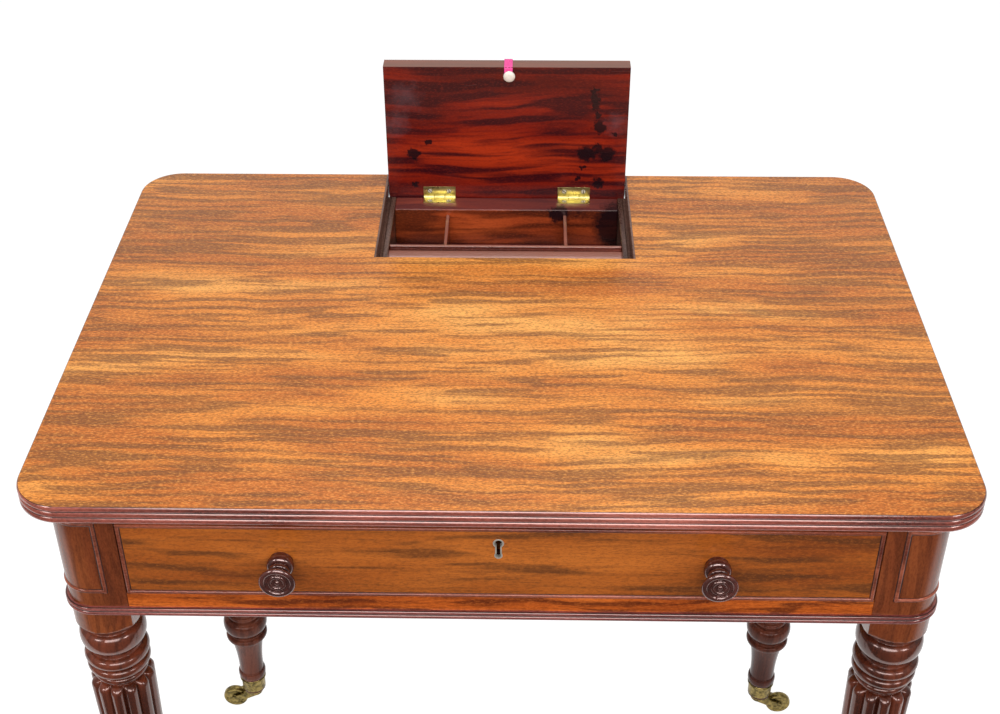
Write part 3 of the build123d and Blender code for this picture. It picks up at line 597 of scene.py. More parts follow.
tool = bmesh.new()
section = bead_section(bead_width, bead_proud, quirk_width)
quirk_depth = 0.3 * MM
for x_sign, y_sign in corners.values():
    part = bmesh.new()
    for z in (bead_low.z, bead_high.z - bead_width):
        run_section(part, [(frieze_x + reach, bead_y - bead_run, z + across) for reach, across in section],
                    [(0, bead_run, 0), ((bead_x, bead_y, 0), pi / 2), (-bead_run, 0, 0)])
    for foot in ([(frieze_x + reach, bead_y - bead_run + across, bead_low.z) for reach, across in section],
                 [(bead_x - bead_run + across, frieze_y + reach, bead_low.z) for reach, across in section]):
        run_section(part, foot, [(0, 0, bead_high.z - bead_low.z)])
    # The quirk faces take the dark material: painted shade, with old wax.
    for face in part.faces:
        face.material_index = 1 if max(bead_reach(vert.co) for vert in face.verts) < quirk_depth else 0
    bmesh.ops.scale(part, vec=(x_sign, y_sign, 1), verts=part.verts)
    bmesh.ops.translate(part, vec=(0, centre_y, 0), verts=part.verts)
    bmesh.ops.recalc_face_normals(part, faces=part.faces)
    join_part(tool, part)
finish_piece("panel_beads_round", tool, [trim_mahogany, shade_and_old_wax], "table",
             ["panel_beads"])

# The base moulding is darker and redder than the beads, and its reeds show by their shine. Its grooves are
# painted dark, as shade and old wax.
moulding_mahogany = mahogany("dark_waxed_mahogany_moulding", 0, ("#A85E54", "#7E3C36", "#542222", "#2A1010"),
                             width=4, gloss=0.1, stripes=0.3, shine=1.9)
moulding_reeds = 2
moulding_reed_proud = 1.4 * MM
moulding_low, moulding_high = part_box("base_moulding_front")
moulding_proud = moulding_high.x - frieze_x
moulding_reach = Vector((frieze_x + moulding_proud, frieze_y + moulding_proud, 0))
frieze_middle = Vector((0, centre_y, 0))
outline = reeds(moulding_low.z, moulding_high.z, moulding_reeds, moulding_reed_proud)
outline = [(-moulding_proud, moulding_low.z), *outline, (-moulding_proud, moulding_high.z)]
tool = bmesh.new()
rounded_board(tool, frieze_middle - moulding_reach, frieze_middle + moulding_reach,
              frieze_corner + moulding_proud, outline, hollow=True)
tool.normal_update()
darken_grooves(tool, moulding_low.z, moulding_high.z, moulding_reeds, 1)
mouldings = ["base_moulding_" + side for side in ("front", "back", "left", "right")]
finish_piece("base_moulding_reeds", tool, [moulding_mahogany, shade_and_old_wax], "table",
             mouldings)
dress(trim_mahogany, "panel_beads", *mouldings)

# Drawer
# The front is a board of mahogany, edged all round with a round-nosed cock bead, and polished. The box behind
# it is plain pale oak, planed but never polished.
keyhole_low, keyhole_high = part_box("escutcheon")
# A dark spot sits inside the keyhole, at its top and its foot: painted shade in the hole.
keyhole_shade_inset = 4 * MM
keyhole_shade_depth = 5
keyhole_shade_radius = 5
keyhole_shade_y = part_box("drawer_front")[0].y / MM + keyhole_shade_depth
keyhole_shade = [(0, keyhole_shade_y, height / MM, keyhole_shade_radius)
                 for height in (keyhole_low.z + keyhole_shade_inset, keyhole_high.z - keyhole_shade_inset)]
# The front is a warm orange-brown, palest near its middle under a painted pool of light, with long olive
# stripes and painted shade inside the keyhole.
drawer_mahogany = mahogany("polished_mahogany_drawer", 0, ("#C26C2A", "#A95920", "#8E461A", "#50301A"),
                           width=8, wander=8, stripes=0.7, fibre=0.55, gloss=0.2, ink_and_shade=keyhole_shade,
                           light=((-60, -240, 660), (420, 1000, 1000)))
dress(drawer_mahogany, "drawer_front")
cock_proud = 1.4 * MM
cock_width = 3 * MM
cock_film = 0.04 * MM
cock_low, cock_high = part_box("cock_beads")
face_y = cock_low.y + cock_proud
middle = (cock_low + cock_high) / 2
half = (cock_high - cock_low) / 2
cock_turns = [pi * step / 8 for step in range(9)]
cock_outline = [(0, -cock_proud * 0.3)]
cock_outline += [(cock_width / 2 * (1 - cos(turn)), cock_proud * sin(turn)) for turn in cock_turns]
cock_outline += [(cock_width + quirk_width, cock_film), (cock_width + quirk_width, -cock_proud * 0.3)]


def mitred_to(inward, proud):
    """Set a corner of the frame in from its outer side, square to both of the strips that meet there."""
    def set_out(co):
        x_reach = half.x - inward if co.x > middle.x else inward - half.x
        z_reach = half.z - inward if co.z > middle.z else inward - half.z
        return Vector((middle.x + x_reach, face_y - proud, middle.z + z_reach))
    return set_out


tool = bmesh.new()
upright = Matrix.Rotation(pi / 2, 4, "X") @ Matrix.Diagonal((half.x, half.z, 1, 1))
bmesh.ops.create_grid(tool, x_segments=1, y_segments=1, size=1,
                      matrix=Matrix.Translation((middle.x, cock_high.y, middle.z)) @ upright)
bmesh.ops.delete(tool, geom=tool.faces[:], context="FACES_ONLY")
first = tool.edges[:]
edges = first
for inward, proud in cock_outline:
    edges = grow_ring(tool, edges, mitred_to(inward, proud))
bmesh.ops.bridge_loops(tool, edges=first + edges)
# The quirk inside the bead takes the dark material: painted shade, with old wax.
for face in tool.faces:
    inset = max(half.x - abs(vert.co.x - middle.x) for vert in face.verts)
    inset = min(inset, max(half.z - abs(vert.co.z - middle.z) for vert in face.verts))
    face.material_index = 1 if inset > cock_width + quirk_width / 2 else 0
finish_piece("cock_beads_round", tool, [trim_mahogany, shade_and_old_wax], "drawer",
             ["cock_beads"])
dress(trim_mahogany, "cock_beads")


def planed_oak(name, axis):
    """Planed oak, dry and pale to the eye: straight grain lines, open dark pores and no shine. The pores are
    drawn coarser than real ones, to show."""
    material, tree, place = start_material(name)
    growth = grain_noise(tree, place, axis, 160, 4, Detail=3)
    pores = grain_noise(tree, place, axis, 20, 0.7, Detail=3)
    colour = add_node(tree, "ValToRGB", {"Fac": growth}, [(0.38, paint("#8A6840")), (0.62, paint("#B8925E"))])
    open_pores = add_node(tree, "ValToRGB", {"Fac": pores}, [(0.52, 0), (0.72, 0.5)])
    colour = add_node(tree, "Mix", {SHARE: open_pores, UNDER: colour, OVER: paint("#6A4C2C")},
                      data_type="RGBA")
    bump = add_node(tree, "Bump", {"Height": pores, "Strength": 0.3, "Distance": 0.2 * MM})
    shader = add_node(tree, "BsdfPrincipled", {"Base Color": colour, "Roughness": 0.75, "Normal": bump})
    add_node(tree, "OutputMaterial", {"Surface": shader})
    return material


dress(planed_oak("planed_oak_lengthways", 1), "drawer_side_left", "drawer_side_right", "drawer_runners",
      "drawer_guides", "drawer_kickers")
dress(planed_oak("planed_oak_crossways", 0), "drawer_back", "drawer_bottom", "drawer_stops")

# Knobs
# Two turned mahogany knobs: a ringed face with a dished recess and a boss, a waisted neck and two beads,
# glued into the front by a spigot. Handling has made them dark, with small bright lights on each ring.
knob_mahogany = mahogany("turned_mahogany_knob", 1, ("#96564A", "#68342C", "#421C16", "#180706"), width=3,
                         length=30, wander=2, stripes=0.4, fibre=0.1, gloss=0.1, shine=2.2)
knob_low, knob_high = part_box("knobs")
knob_radius = (knob_high.z - knob_low.z) / 2
knob_x = knob_high.x - knob_radius
knob_z = (knob_low.z + knob_high.z) / 2
knob_reach = face_y - knob_low.y
spigot_radius = 5 * MM
spigot_length = 10 * MM
dish_depth = 3 * MM
rim_round = 2.3 * MM
rim_height = 1.8 * MM
rim_middle = knob_radius - rim_round
face_rings = ((0, 2.2 * MM, 1.5 * MM), (5.8 * MM, 1.5 * MM, 1.3 * MM), (rim_middle, rim_round, rim_height))
knob_back = (
    ("hollow", 5, 0.82, 0.5, 0.44),
    ("band", 1, 0.44),
    ("round", 3.6, 0.48, 0.6, 0.5),
    ("band", 0.8, 0.48),
    ("round", 6.4, 0.55, 0.76, 0.6),
    ("band", 2, 0.62, 0.62, 0.66),
)


def ringed_face():
    """The face's outline from its middle to its rim: rings that stand up from a flat dish."""
    outline = []
    for step in range(1, 61):
        radius = rim_middle * step / 60
        rise = sum(height * sqrt(max(0, 1 - ((radius - middle) / width) ** 2))
                   for middle, width, height in face_rings)
        outline.append((radius, dish_depth - rise))
    for step in range(1, 13):
        angle = pi * step / 12
        outline.append((rim_middle + rim_round * sin(angle), dish_depth - rim_height * cos(angle)
                        + (rim_round - rim_height) * (1 - cos(angle)) / 2))
    return outline


def spun_level(tool, outline, place, steps, about="X"):
    """Add a turned part whose axis lies level: spun upright, then turned over about X or Y and put in place."""
    part = bmesh.new()
    spun(part, outline, 0, 0, steps)
    bmesh.ops.rotate(part, cent=(0, 0, 0), matrix=Matrix.Rotation(pi / 2, 3, about), verts=part.verts)
    bmesh.ops.translate(part, vec=place, verts=part.verts)
    join_part(tool, part)


knob_face = ringed_face()
outline = [(radius, -depth) for radius, depth in knob_face]
outline += turning(knob_back, knob_radius, -knob_face[-1][1], -knob_reach)
outline += [(spigot_radius, -knob_reach), (spigot_radius, -knob_reach - spigot_length)]
tool = bmesh.new()
for side in (-1, 1):
    spun_level(tool, outline, (side * knob_x, knob_low.y, knob_z), 64)
finish_piece("knobs_turned", tool, [knob_mahogany], "drawer", ["knobs"], 50)
dress(knob_mahogany, "knobs")

# Lock
# A bright steel ring lines the keyhole, and behind it are the lock's cast brass case, its pin and its bolt.
# The steel is worn to a soft grey shine, and the brass is painted a dark, dull brown, as shade seen through the
# keyhole.


def old_metal(name, colour, tarnish, roughness, cover=0.5, grain=6):
    """Old metal: bare where hands and dusters reach it, tarnished in soft patches elsewhere."""
    material, tree, place = start_material(name)
    patches = add_node(tree, "TexNoise", {"Vector": place, "Scale": 1 / (grain * MM), "Detail": 4,
                                          "Roughness": 0.6})
    share = add_node(tree, "ValToRGB", {"Fac": patches}, [(0.4, 0), (0.66, cover)])
    colour = add_node(tree, "Mix", {SHARE: share, UNDER: paint(colour), OVER: paint(tarnish)},
                      data_type="RGBA")
    dull = add_node(tree, "MapRange", {"Value": patches, "To Min": roughness - 0.05,
                                       "To Max": roughness + 0.2})
    arris = add_node(tree, "Bevel", {"Radius": 0.25 * MM}, samples=4)
    shader = add_node(tree, "BsdfPrincipled", {"Base Color": colour, "Metallic": 1, "Roughness": dull,
                                               "Normal": arris})
    add_node(tree, "OutputMaterial", {"Surface": shader})
    return material


steel = old_metal("worn_steel", "#F2ECE0", "#A8A298", 0.5)
dress(steel, "escutcheon", "top_screws")
dress(old_metal("cast_brass_lock", "#6A5430", "#30261A", 0.4), "lock_case", "lock_bolt")

# Pen and ink well
# The box under the lid is plain mahogany: a coved pen tray in front, then three compartments with thin
# partitions. Its sides have a thin lip up to the table's surface, and a scratched line on the ledge.
ink_pools = (
    (100, 170, 690, 34), (70, 200, 715, 16), (112, 215, 700, 26), (85, 150, 680, 26),
    (-100, 150, 676, 22), (-66, 158, 676, 12), (-52, 150, 680, 14), (50, 152, 682, 14), (52, 216, 714, 10),
)
# The box is dark, with old ink in pools, and its faces that face up are set a darker purple-brown by facing.
# Its side boards are a worn grey-brown, and the tray and partitions are redder, with a paler pink-brown
# painted highlight on every face that faces up.
well_mahogany = mahogany("inky_mahogany_well", 0, ("#C4582A", "#9E401E", "#682A16", "#2A100C"), width=12,
                         fibre=0.3, gloss=0.2, ink_and_shade=ink_pools, edge="#5C2C30")
lining_mahogany = mahogany("worn_mahogany_lining", 1, ("#8A6A5A", "#6A4E42", "#483028", "#20120E"), width=4,
                           gloss=0.2, stripes=0.4)
divider_mahogany = mahogany("worn_mahogany_divider", 0, ("#8A4434", "#6C2C20", "#4A1A12", "#2A100C"), width=8,
                            stripes=0.3, gloss=0.14, shine=1.75, edge="#A46C5A")
dress(well_mahogany, "well_front", "well_floor", "hinge_rail", "well_partition", "well_dividers", "pen_tray")
dress(lining_mahogany, "well_side_left", "well_side_right")
board_ease = 1.3 * MM
divider_ease = 1.1 * MM
divider_thickness = 3.6 * MM
well_low, well_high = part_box("well_dividers")


def eased_board(tool, low, high, ease, segments=5):
    """A thin board, every arris rounded by use where it has any ease."""
    part = bmesh.new()
    bmesh.ops.create_cube(part, size=1, matrix=sized_at((low + high) / 2, high - low))
    if ease:
        bmesh.ops.bevel(part, geom=part.edges[:], offset=ease, segments=segments, profile=0.5, affect="EDGES",
                        material=-1)
    join_part(tool, part)


for node, wood in (("hinge_rail", well_mahogany), ("well_partition", divider_mahogany)):
    tool = bmesh.new()
    eased_board(tool, *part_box(node), board_ease)
    finish_piece(node + "_eased", tool, [wood], "table", [node])
tool = bmesh.new()
for left in (-well_high.x, well_high.x - divider_thickness):
    eased_board(tool, Vector((left, *well_low.yz)), Vector((left + divider_thickness, *well_high.yz)),
                divider_ease)
finish_piece("well_dividers_eased", tool, [divider_mahogany], "table", ["well_dividers"])

tray_low, tray_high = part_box("pen_tray")
tray_middle = (tray_low.y + tray_high.y) / 2
cove_radius = 26 * MM
cove_depth = 8 * MM
cove_edge_ease = 0.25 * MM
cove_reach = sqrt(cove_radius ** 2 - (cove_radius - cove_depth) ** 2)
cove_arc = asin(cove_reach / cove_radius)
cove_steps = 16
tray_arris = 1.2 * MM
arris_round = 0.35 * tray_arris
tray_section = [(tray_low.y, tray_low.z), (tray_high.y, tray_low.z), (tray_high.y, tray_high.z - tray_arris),
                (tray_high.y - arris_round, tray_high.z - arris_round),
                (tray_high.y - tray_arris, tray_high.z)]
for step in range(cove_steps + 1):
    angle = cove_arc * (1 - 2 * step / cove_steps)
    ease = cove_edge_ease if step in (0, cove_steps) else 0
    tray_section.append((tray_middle + cove_radius * sin(angle),
                         tray_high.z + cove_radius - cove_depth - cove_radius * cos(angle) - ease))
tray_section += [(tray_low.y + tray_arris, tray_high.z), (tray_low.y, tray_high.z - tray_arris)]
tool = bmesh.new()
run_section(tool, [(tray_low.x, y, z) for y, z in tray_section], [(tray_high.x - tray_low.x, 0, 0)])
finish_piece("pen_tray_coved", tool, [divider_mahogany], "table", ["pen_tray"])

lip = 2 * MM
lip_ease = 0.4 * MM
ledge_ease = 0.5 * MM
scratch_depth = 1 * MM
scratch_line = (4.8 * MM, 4.6 * MM, 4.2 * MM, 4 * MM)
ledge_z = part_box("hinge_rail")[1].z
back_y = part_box("hinge_rail")[1].y
for side, sign in (("left", -1), ("right", 1)):
    low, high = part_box("well_side_" + side)
    thickness = high.x - low.x
    lip_section = [(lip, high.z - lip_ease), (lip - lip_ease, high.z), (0, high.z)]
    scratch = zip(scratch_line, (ledge_z, ledge_z - scratch_depth, ledge_z - scratch_depth, ledge_z))
    side_section = [(0, low.z), (thickness, low.z), (thickness, ledge_z - ledge_ease),
                    (thickness - ledge_ease, ledge_z), *scratch, (lip, ledge_z), *lip_section]
    tool = bmesh.new()
    run_section(tool, [(sign * (notch_x - inward), low.y, z) for inward, z in side_section],
                [(0, back_y - low.y, 0)])
    part = bmesh.new()
    run_section(part, [(sign * (notch_x - inward), back_y, max(z, under_top_z))
                       for inward, z in ((0, 0), (lip, 0), *lip_section)], [(0, high.y - back_y, 0)])
    join_part(tool, part)
    finish_piece("well_side_lipped_" + side, tool, [lining_mahogany], "table",
                 ["well_side_" + side])

# Lid
# The lid is a board like the top. Its underside shows when it stands open: deep red-brown with purple-brown
# bands, ink soaked in where pens and pots stood, and a pale bloom in the polish. A painted pool of light makes
# it palest about one place, and its free edge, which faces up, is painted a paler grey-brown, a painted
# highlight.
ink_spots = (
    (84, 241, 834, 4), (84.5, 241, 826, 5), (85, 241, 818, 4), (88, 241, 808, 4), (90, 241, 796, 6.5),
    (78, 241, 768, 8.5), (89, 241, 773, 6), (98, 241, 767, 8), (74, 241, 752, 2.6), (104, 241, 790, 2.4),
    (-90.8, 241, 766.6, 6), (-75.8, 241, 778.7, 3), (-90, 241, 733, 3.4), (90, 241, 736, 6),
    (70, 241, 741, 3),
)
bloom_spots = ((-97, 241, 827, 16), (-108, 241, 800, 14), (105, 241, 800, 12))
lid_mahogany = mahogany("inked_mahogany_lid", 0, ("#A83214", "#7C1C0E", "#4C0E0C", "#2C0810"), width=8,
                        length=120, stripes=0.9, fibre=0.3, gloss=0.24, shine=1.38, ink_and_shade=ink_spots,
                        bloom=bloom_spots, edge="#8A5C48", light=((10, 241, 765), (190, 1000, 85)),
                        outside=(*gold, "#C87430", "#B07838"))
dress(lid_mahogany, "lid_board")

# Hinges
# Two brass butt hinges: leaves let in flush to the rail and the lid, a knuckle of three parts with its pin,
# and steel screws, two in each leaf, with painted shade and old wax round each head and in its slot. The brass
# is lacquered, a pale bright yellow, the newest thing here.
hinge_brass = old_metal("lacquered_brass_hinge", "#D8CA86", "#94844C", 0.22)
hinge_length = 32 * MM
leaf_width = 11.5 * MM
leaf_thickness = 1.2 * MM
leaf_proud = 0.04 * MM
leaf_ease = 0.1 * MM
strip_overlap = 0.3 * MM
clear_of_knuckle = 2.15 * MM
knuckle_radius = 2 * MM
knuckle_ease = 0.3 * MM
knuckle_gap = 0.12 * MM
screw_reach = 9.5 * MM
screw_radius = 2.2 * MM
screw_height = 0.3 * MM
screw_proud = 0.06 * MM
shade_ring_width = 0.35 * MM
shade_ring_proud = 0.015 * MM
slot_size = (2 * screw_radius - 0.3 * MM, 0.7 * MM, 0.2 * MM)
slot_depth = 0.02 * MM
hinge_joint = [joint for joint in frame["joints"] if joint["name"] == "lid_hinge"][0]
axis_y, axis_z = hinge_joint["pos_m"][1:]
hinge_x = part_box("hinge_pins")[1].x - hinge_length / 2
lid_face_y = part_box("lid_board")[0].y


def knuckle_span(left, part):
    """Where one of a knuckle's three parts starts and ends along the hinge."""
    start = left + part * hinge_length / 3
    return start + knuckle_gap, start + hinge_length / 3 - knuckle_gap


def leaf_with_screws(tool, screws, shade_and_wax, low, high, upright, knuckles):
    """A leaf that stands clear of the other leaf's knuckle and reaches its own parts of it, and two slotted
    screw heads sunk in its face, a dark ring round each and its slot painted as shade and old wax."""
    eased_board(tool, low, high, leaf_ease, 2)
    for part in knuckles:
        strip_low, strip_high = low.copy(), high.copy()
        strip_low.x, strip_high.x = knuckle_span(low.x, part)
        if upright:
            strip_low.z, strip_high.z = axis_z, low.z + strip_overlap
        else:
            strip_low.y, strip_high.y = high.y - strip_overlap, axis_y
        eased_board(tool, strip_low, strip_high, 0)
    middle = (low + high) / 2
    for side in (-1, 1):
        turn = Matrix.Rotation(radians(30 + 70 * side), 4, "Z")
        place = Vector((middle.x + side * screw_reach, middle.y, high.z))
        if upright:
            turn = Matrix.Rotation(pi / 2, 4, "X") @ turn
            place.yz = low.y, middle.z
        there = Matrix.Translation(place) @ turn
        for target, radius, proud in ((shade_and_wax, screw_radius + shade_ring_width, shade_ring_proud),
                                      (screws, screw_radius, screw_proud)):
            sunk = Matrix.Translation((0, 0, proud - screw_height / 2))
            head = bmesh.new()
            bmesh.ops.create_cone(head, cap_ends=True, segments=32, radius1=radius,
                                  radius2=radius - leaf_ease, depth=screw_height, matrix=there @ sunk)
            join_part(target, head)
        slot = bmesh.new()
        bmesh.ops.create_cube(slot, size=1, matrix=there @ sized_at((0, 0, -slot_depth), slot_size))
        join_part(shade_and_wax, slot)


for name, body, node, parts in (("hinge_rail_leaves_screwed", "table", "rail_leaves", (0, 2)),
                                ("hinge_lid_leaves_screwed", "lid", "lid_leaves", (1,))):
    tool, screws, shade_and_wax = bmesh.new(), bmesh.new(), bmesh.new()
    for left in (-hinge_x - hinge_length / 2, hinge_x - hinge_length / 2):
        if body == "lid":
            low = Vector((left, lid_face_y - leaf_proud, axis_z + clear_of_knuckle))
            high = Vector((left + hinge_length, lid_face_y + leaf_thickness, axis_z + leaf_width))
        else:
            low = Vector((left, axis_y - leaf_width, ledge_z - leaf_thickness))
            high = Vector((left + hinge_length, axis_y - clear_of_knuckle, ledge_z + leaf_proud))
        leaf_with_screws(tool, screws, shade_and_wax, low, high, body == "lid", parts)
        for part in parts:
            start, end = knuckle_span(left, part)
            outline = [(knuckle_radius - knuckle_ease, start), (knuckle_radius, start + knuckle_ease),
                       (knuckle_radius, end - knuckle_ease), (knuckle_radius - knuckle_ease, end)]
            spun_level(tool, outline, (0, axis_y, axis_z), 32, "Y")
    # The rings round the heads and the slots take the dark material: painted shade, with old wax.
    for material_place, made in ((1, screws), (2, shade_and_wax)):
        for face in made.faces:
            face.material_index = material_place
        join_part(tool, made)
    finish_piece(name, tool, [hinge_brass, steel, shade_and_old_wax], body, [node])
dress(hinge_brass, "rail_leaves", "lid_leaves", "hinge_pins")

# Stud and ribbon
# A turned bone stud holds a bright pink ribbon that folds over the lid's free edge, to lift it by. The bone
# is cream white with a soft polish. The ribbon is matt, its weave drawn coarser, as a soft change of tone.


def plain_finish(name, colour, other, roughness, grain):
    """A plain smooth finish with a soft change of tone."""
    material, tree, place = start_material(name)
    share = add_node(tree, "TexNoise", {"Vector": place, "Scale": 1 / (grain * MM), "Detail": 2})
    colour = add_node(tree, "Mix", {SHARE: share, UNDER: paint(colour), OVER: paint(other)}, data_type="RGBA")
    shader = add_node(tree, "BsdfPrincipled", {"Base Color": colour, "Roughness": roughness, "IOR": 1.5})
    add_node(tree, "OutputMaterial", {"Surface": shader})
    return material


bone = plain_finish("turned_bone", "#F4EFE6", "#D6CDBF", 0.3, 2)
stud_low, stud_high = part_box("lid_stud")
stud_middle = (stud_low + stud_high) / 2
stud_radius = (stud_high.z - stud_low.z) / 2
stud_dome = 2.4 * MM
quarters = [pi / 2 * step / 12 for step in range(3, 13)]
stud_outline = [(0.4 * MM, 0.5 * MM), (0.8 * MM, 0.1 * MM)]
stud_outline += [(stud_radius * sin(turn), stud_dome * (1 - cos(turn))) for turn in quarters]
stud_outline += [(stud_radius * 0.96, 3 * MM), (stud_radius * 0.86, 3.5 * MM)]
tool = bmesh.new()
spun_level(tool, [(radius, -depth) for radius, depth in stud_outline],
           (stud_middle.x, stud_low.y, stud_middle.z), 48)
finish_piece("lid_stud_turned", tool, [bone], "lid", ["lid_stud"])
dress(bone, "lid_stud")

pink_ribbon = plain_finish("woven_pink_ribbon", "#F45AA6", "#DE3A88", 0.6, 0.7)
ribbon_gathered = 8 * MM
ribbon_thickness = 0.25 * MM
ribbon_low, ribbon_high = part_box("ribbon_tab")
ribbon_x = (ribbon_low.x + ribbon_high.x) / 2
stand_off = 0.25 * MM
pull = 3.2 * MM
folds = 3
fold_depth = 0.42 * MM
across_steps = 24
lid_top_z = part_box("lid_board")[1].z
lid_back_y = ribbon_high.y - 0.5 * MM
over_edge_z = lid_top_z + 0.45 * MM
inwards, up, outwards = (-1, 0), (0, 1), (1, 0)
ribbon_line = [
    ((lid_face_y - stand_off, stud_low.z + 2 * MM), inwards),
    ((lid_face_y - stand_off, stud_high.z), inwards),
    ((lid_face_y - 1.6 * stand_off, lid_top_z - 1 * MM), inwards),
    ((lid_face_y + 0.6 * MM, lid_top_z + stand_off), up),
    ((lid_face_y + 5 * MM, lid_top_z + 0.4 * MM), up),
    ((lid_back_y - 4 * MM, over_edge_z), up),
    ((lid_back_y + 0.5 * pull, over_edge_z), up),
    ((lid_back_y + pull, lid_top_z - 0.3 * MM), outwards),
    ((lid_back_y + 0.8 * pull, lid_top_z - 3 * MM), outwards),
    ((lid_back_y + stand_off, lid_top_z - 8 * MM), outwards),
]


def ribbon_point(y, z, across, outward):
    """A point of the ribbon's gathered width, its folds standing out from the line that it follows."""
    fold = fold_depth * (1 + sin(2 * pi * folds * across)) / 2
    return Vector((ribbon_x + (across - 0.5) * ribbon_gathered, y + outward[0] * fold, z + outward[1] * fold))


tool = bmesh.new()
start, outward = ribbon_line[0]
row = [tool.verts.new(ribbon_point(*start, step / across_steps, outward)) for step in range(across_steps + 1)]
edges = [tool.edges.new((row[place], row[place + 1])) for place in range(across_steps)]
for (y, z), outward in ribbon_line[1:]:
    edges = grow_ring(tool, edges, lambda co: ribbon_point(
        y, z, (co.x - ribbon_x) / ribbon_gathered + 0.5, outward))
ribbon = finish_piece("ribbon_folded", tool, [pink_ribbon], "lid", ["ribbon_tab"])
cloth = ribbon.modifiers.new("cloth", "SOLIDIFY")
cloth.thickness = ribbon_thickness
cloth.offset = 0
smoothing = ribbon.modifiers.new("smooth", "SUBSURF")
smoothing.levels = smoothing.render_levels = 1
ribbon_length = sum((Vector(end) - Vector(start)).length
                    for (start, _), (end, _) in zip(ribbon_line, ribbon_line[1:]))
dress(pink_ribbon, "ribbon_tab")

# Castors
# Cast brass cup castors: a plain cup on the foot, a swivelling horn and a small wheel. The brass has gone
# dark in soft patches, with greenish yellow metal between them.
aged_brass = old_metal("aged_brass_castor", "#9A8650", "#342E1C", 0.28, 0.85, 5)
cup_low, cup_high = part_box("castor_cups")
cup_radius = 15.8 * MM
cup_members = (
    ("band", 1, 0.9, 0.9, 0.95),
    ("band", 1.6, 1),
    ("band", 0.8, 0.94),
    ("hollow", 15, 0.93, 0.9, 0.89),
    ("round", 5, 0.89, 0.84, 0.7),
    ("band", 1, 0.64, 0.64, 0.62),
    ("round", 2, 0.62, 0.6, 0.5),
)
cup_outline = turning(cup_members, cup_radius, cup_high.z, cup_low.z, 6)
tool = bmesh.new()
for x_sign, y_sign in corners.values():
    part = bmesh.new()
    spun(part, cup_outline, x_sign * leg_x, centre_y + y_sign * leg_y, 48)
    join_part(tool, part)
finish_piece("castor_cups_turned", tool, [aged_brass], "table", ["castor_cups"])
wheel_half = 5 * MM
wheel_side = [(2.2, 1), (3.6, 1), (4.4, 0.84), (9.5, 0.66), (10.5, 0.8), (12.2, 0.9), (13.8, 0.8),
              (14.7, 0.52), (15, 0.2)]
wheel_outline = [(radius * MM, half * wheel_half) for radius, half in wheel_side]
wheel_outline += [(radius, -half) for radius, half in wheel_outline[::-1]]
for corner in corners:
    wheel = "castor_wheel_" + corner
    low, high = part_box(wheel)
    rolls_about = "Y" if high.x - low.x < high.y - low.y else "X"
    tool = bmesh.new()
    spun_level(tool, wheel_outline, (low + high) / 2, 48, rolls_about)
    finish_piece("castor_wheel_turned_" + corner, tool, [aged_brass], "wheel_" + corner,
                 [wheel])
    dress(aged_brass, wheel, "castor_horn_" + corner)
dress(aged_brass, "castor_cups")

# Stage
# A white floor and a white surround, soft lamps, and the camera at the photo's place. To the camera the floor
# is white of its own, with a share of matt that keeps the table's shadow, and to lamplight it is plain matt.
floor_material, tree, place = start_material("white_floor")
ray = add_node(tree, "LightPath").node.outputs
seen = add_node(tree, "Math", {0: ray["Is Camera Ray"], 1: ray["Is Glossy Ray"]}, operation="MAXIMUM")
seen = add_node(tree, "Math", {0: seen, 1: ray["Is Transmission Ray"]}, operation="MAXIMUM")
own_white = add_node(tree, "Math", {0: seen, 1: 0.88}, operation="MULTIPLY")
lit_share = add_node(tree, "MapRange", {"Value": seen, "To Min": 0.7, "To Max": 0.28})
glow = add_node(tree, "Emission", {"Color": (1, 1, 1, 1), "Strength": own_white})
matt = add_node(tree, "BsdfDiffuse", {"Color": lit_share})
add_node(tree, "OutputMaterial", {"Surface": add_node(tree, "AddShader", {0: glow, 1: matt})})
tool = bmesh.new()
bmesh.ops.create_grid(tool, x_segments=1, y_segments=1, size=1, matrix=sized_at((0, 2.1, 0), (3.5, 2.6, 1)))
floor_mesh = bpy.data.meshes.new("floor")
tool.to_mesh(floor_mesh)
tool.free()
floor_mesh.materials.append(floor_material)
floor = bpy.data.objects.new("floor", floor_mesh)
bpy.context.scene.collection.objects.link(floor)

# The surround is white where the camera sees it and low behind the table, for the polish to mirror, and dim
# elsewhere, so that the wood stays dark.
world = bpy.data.worlds.new("studio")
world.use_nodes = True
tree = world.node_tree
tree.nodes.clear()
ray = add_node(tree, "LightPath").node.outputs
seen = add_node(tree, "Math", {0: ray["Is Camera Ray"], 1: ray["Is Transmission Ray"]}, operation="MAXIMUM")
way = add_node(tree, "SeparateXYZ", {"Vector": add_node(tree, "TexCoord", output="Generated")}).node.outputs
behind = add_node(tree, "MapRange", {"Value": way["Y"], "From Min": 0.2, "From Max": 0.6})
low = add_node(tree, "MapRange", {"Value": way["Z"], "From Min": 0.75, "From Max": 0.45})
backdrop = add_node(tree, "Math", {0: behind, 1: low}, operation="MULTIPLY")
backdrop = add_node(tree, "Math", {0: backdrop, 1: ray["Is Glossy Ray"]}, operation="MULTIPLY")
white = add_node(tree, "Math", {0: backdrop, 1: seen}, operation="MAXIMUM")
upper = add_node(tree, "MapRange", {"Value": way["Z"], "From Min": -0.3, "From Max": 0.3, "To Min": 0.12,
                                    "To Max": 0.34})
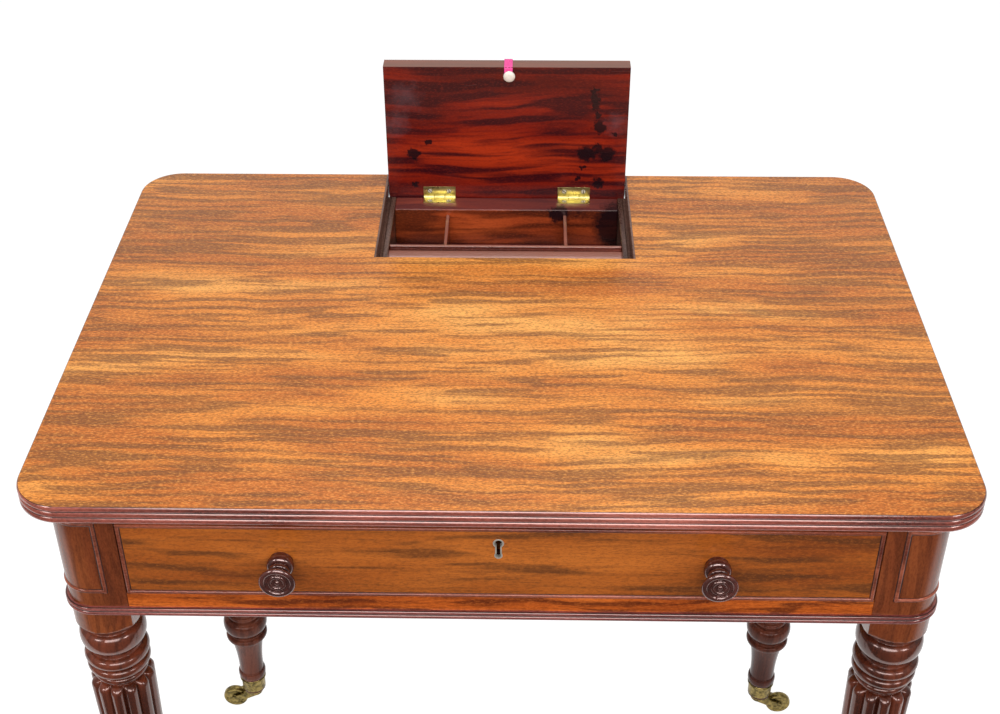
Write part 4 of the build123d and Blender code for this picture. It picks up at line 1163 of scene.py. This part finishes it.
rest = add_node(tree, "MapRange", {"Value": white, "To Min": upper, "To Max": 1})
sky = add_node(tree, "Background", {"Color": (1, 1, 1, 1), "Strength": rest})
add_node(tree, "OutputWorld", {"Surface": sky})
bpy.context.scene.world = world


def soft_lamp(name, place, target, size, power):
    """A large soft lamp aimed at a point."""
    lamp = bpy.data.lights.new(name, "AREA")
    lamp.shape = "RECTANGLE"
    lamp.size, lamp.size_y = size
    lamp.energy = power
    holder = bpy.data.objects.new(name, lamp)
    bpy.context.scene.collection.objects.link(holder)
    holder.location = place
    holder.rotation_euler = (Vector(target) - Vector(place)).to_track_quat("-Z", "Y").to_euler()


soft_lamp("lamp_over", (0, -0.1, 2.5), (0, 0, 0.7), (1.6, 0.5), 12)
soft_lamp("lamp_back", (0, 1.5, 3), (0, 0.1, 0.6), (1.4, 0.6), 10)
soft_lamp("lamp_front", (0, -2.2, 2.1), (0, -0.2, 0.6), (1.9, 1.3), 48)
soft_lamp("lamp_left", (-1.4, -1.4, 1.7), (0, -0.2, 0.5), (0.5, 0.5), 8)
soft_lamp("lamp_right", (1.4, -1.4, 1.7), (0, -0.2, 0.5), (0.5, 0.5), 8)

camera = bpy.data.cameras.new("camera")
camera.sensor_width = 36
camera.lens = 53.51
camera.shift_x = 0.0071
camera.clip_start = 0.05
view = bpy.data.objects.new("camera", camera)
bpy.context.scene.collection.objects.link(view)
stand = Vector((16.4 * MM, centre_y - 1063.7 * MM, 1450.4 * MM))
yaw, pitch, roll = radians(-1.365), radians(35.494), radians(0.33)
forward = Vector((sin(yaw) * cos(pitch), cos(yaw) * cos(pitch), -sin(pitch)))
level_right = Vector((cos(yaw), -sin(yaw), 0))
level_down = forward.cross(level_right)
right = level_right * cos(roll) + level_down * sin(roll)
down = level_down * cos(roll) - level_right * sin(roll)
turned = Matrix((right, -down, -forward)).transposed().to_4x4()
view.matrix_world = Matrix.Translation(stand) @ turned
bpy.context.scene.camera = view
bpy.context.scene.view_settings.view_transform = "Standard"
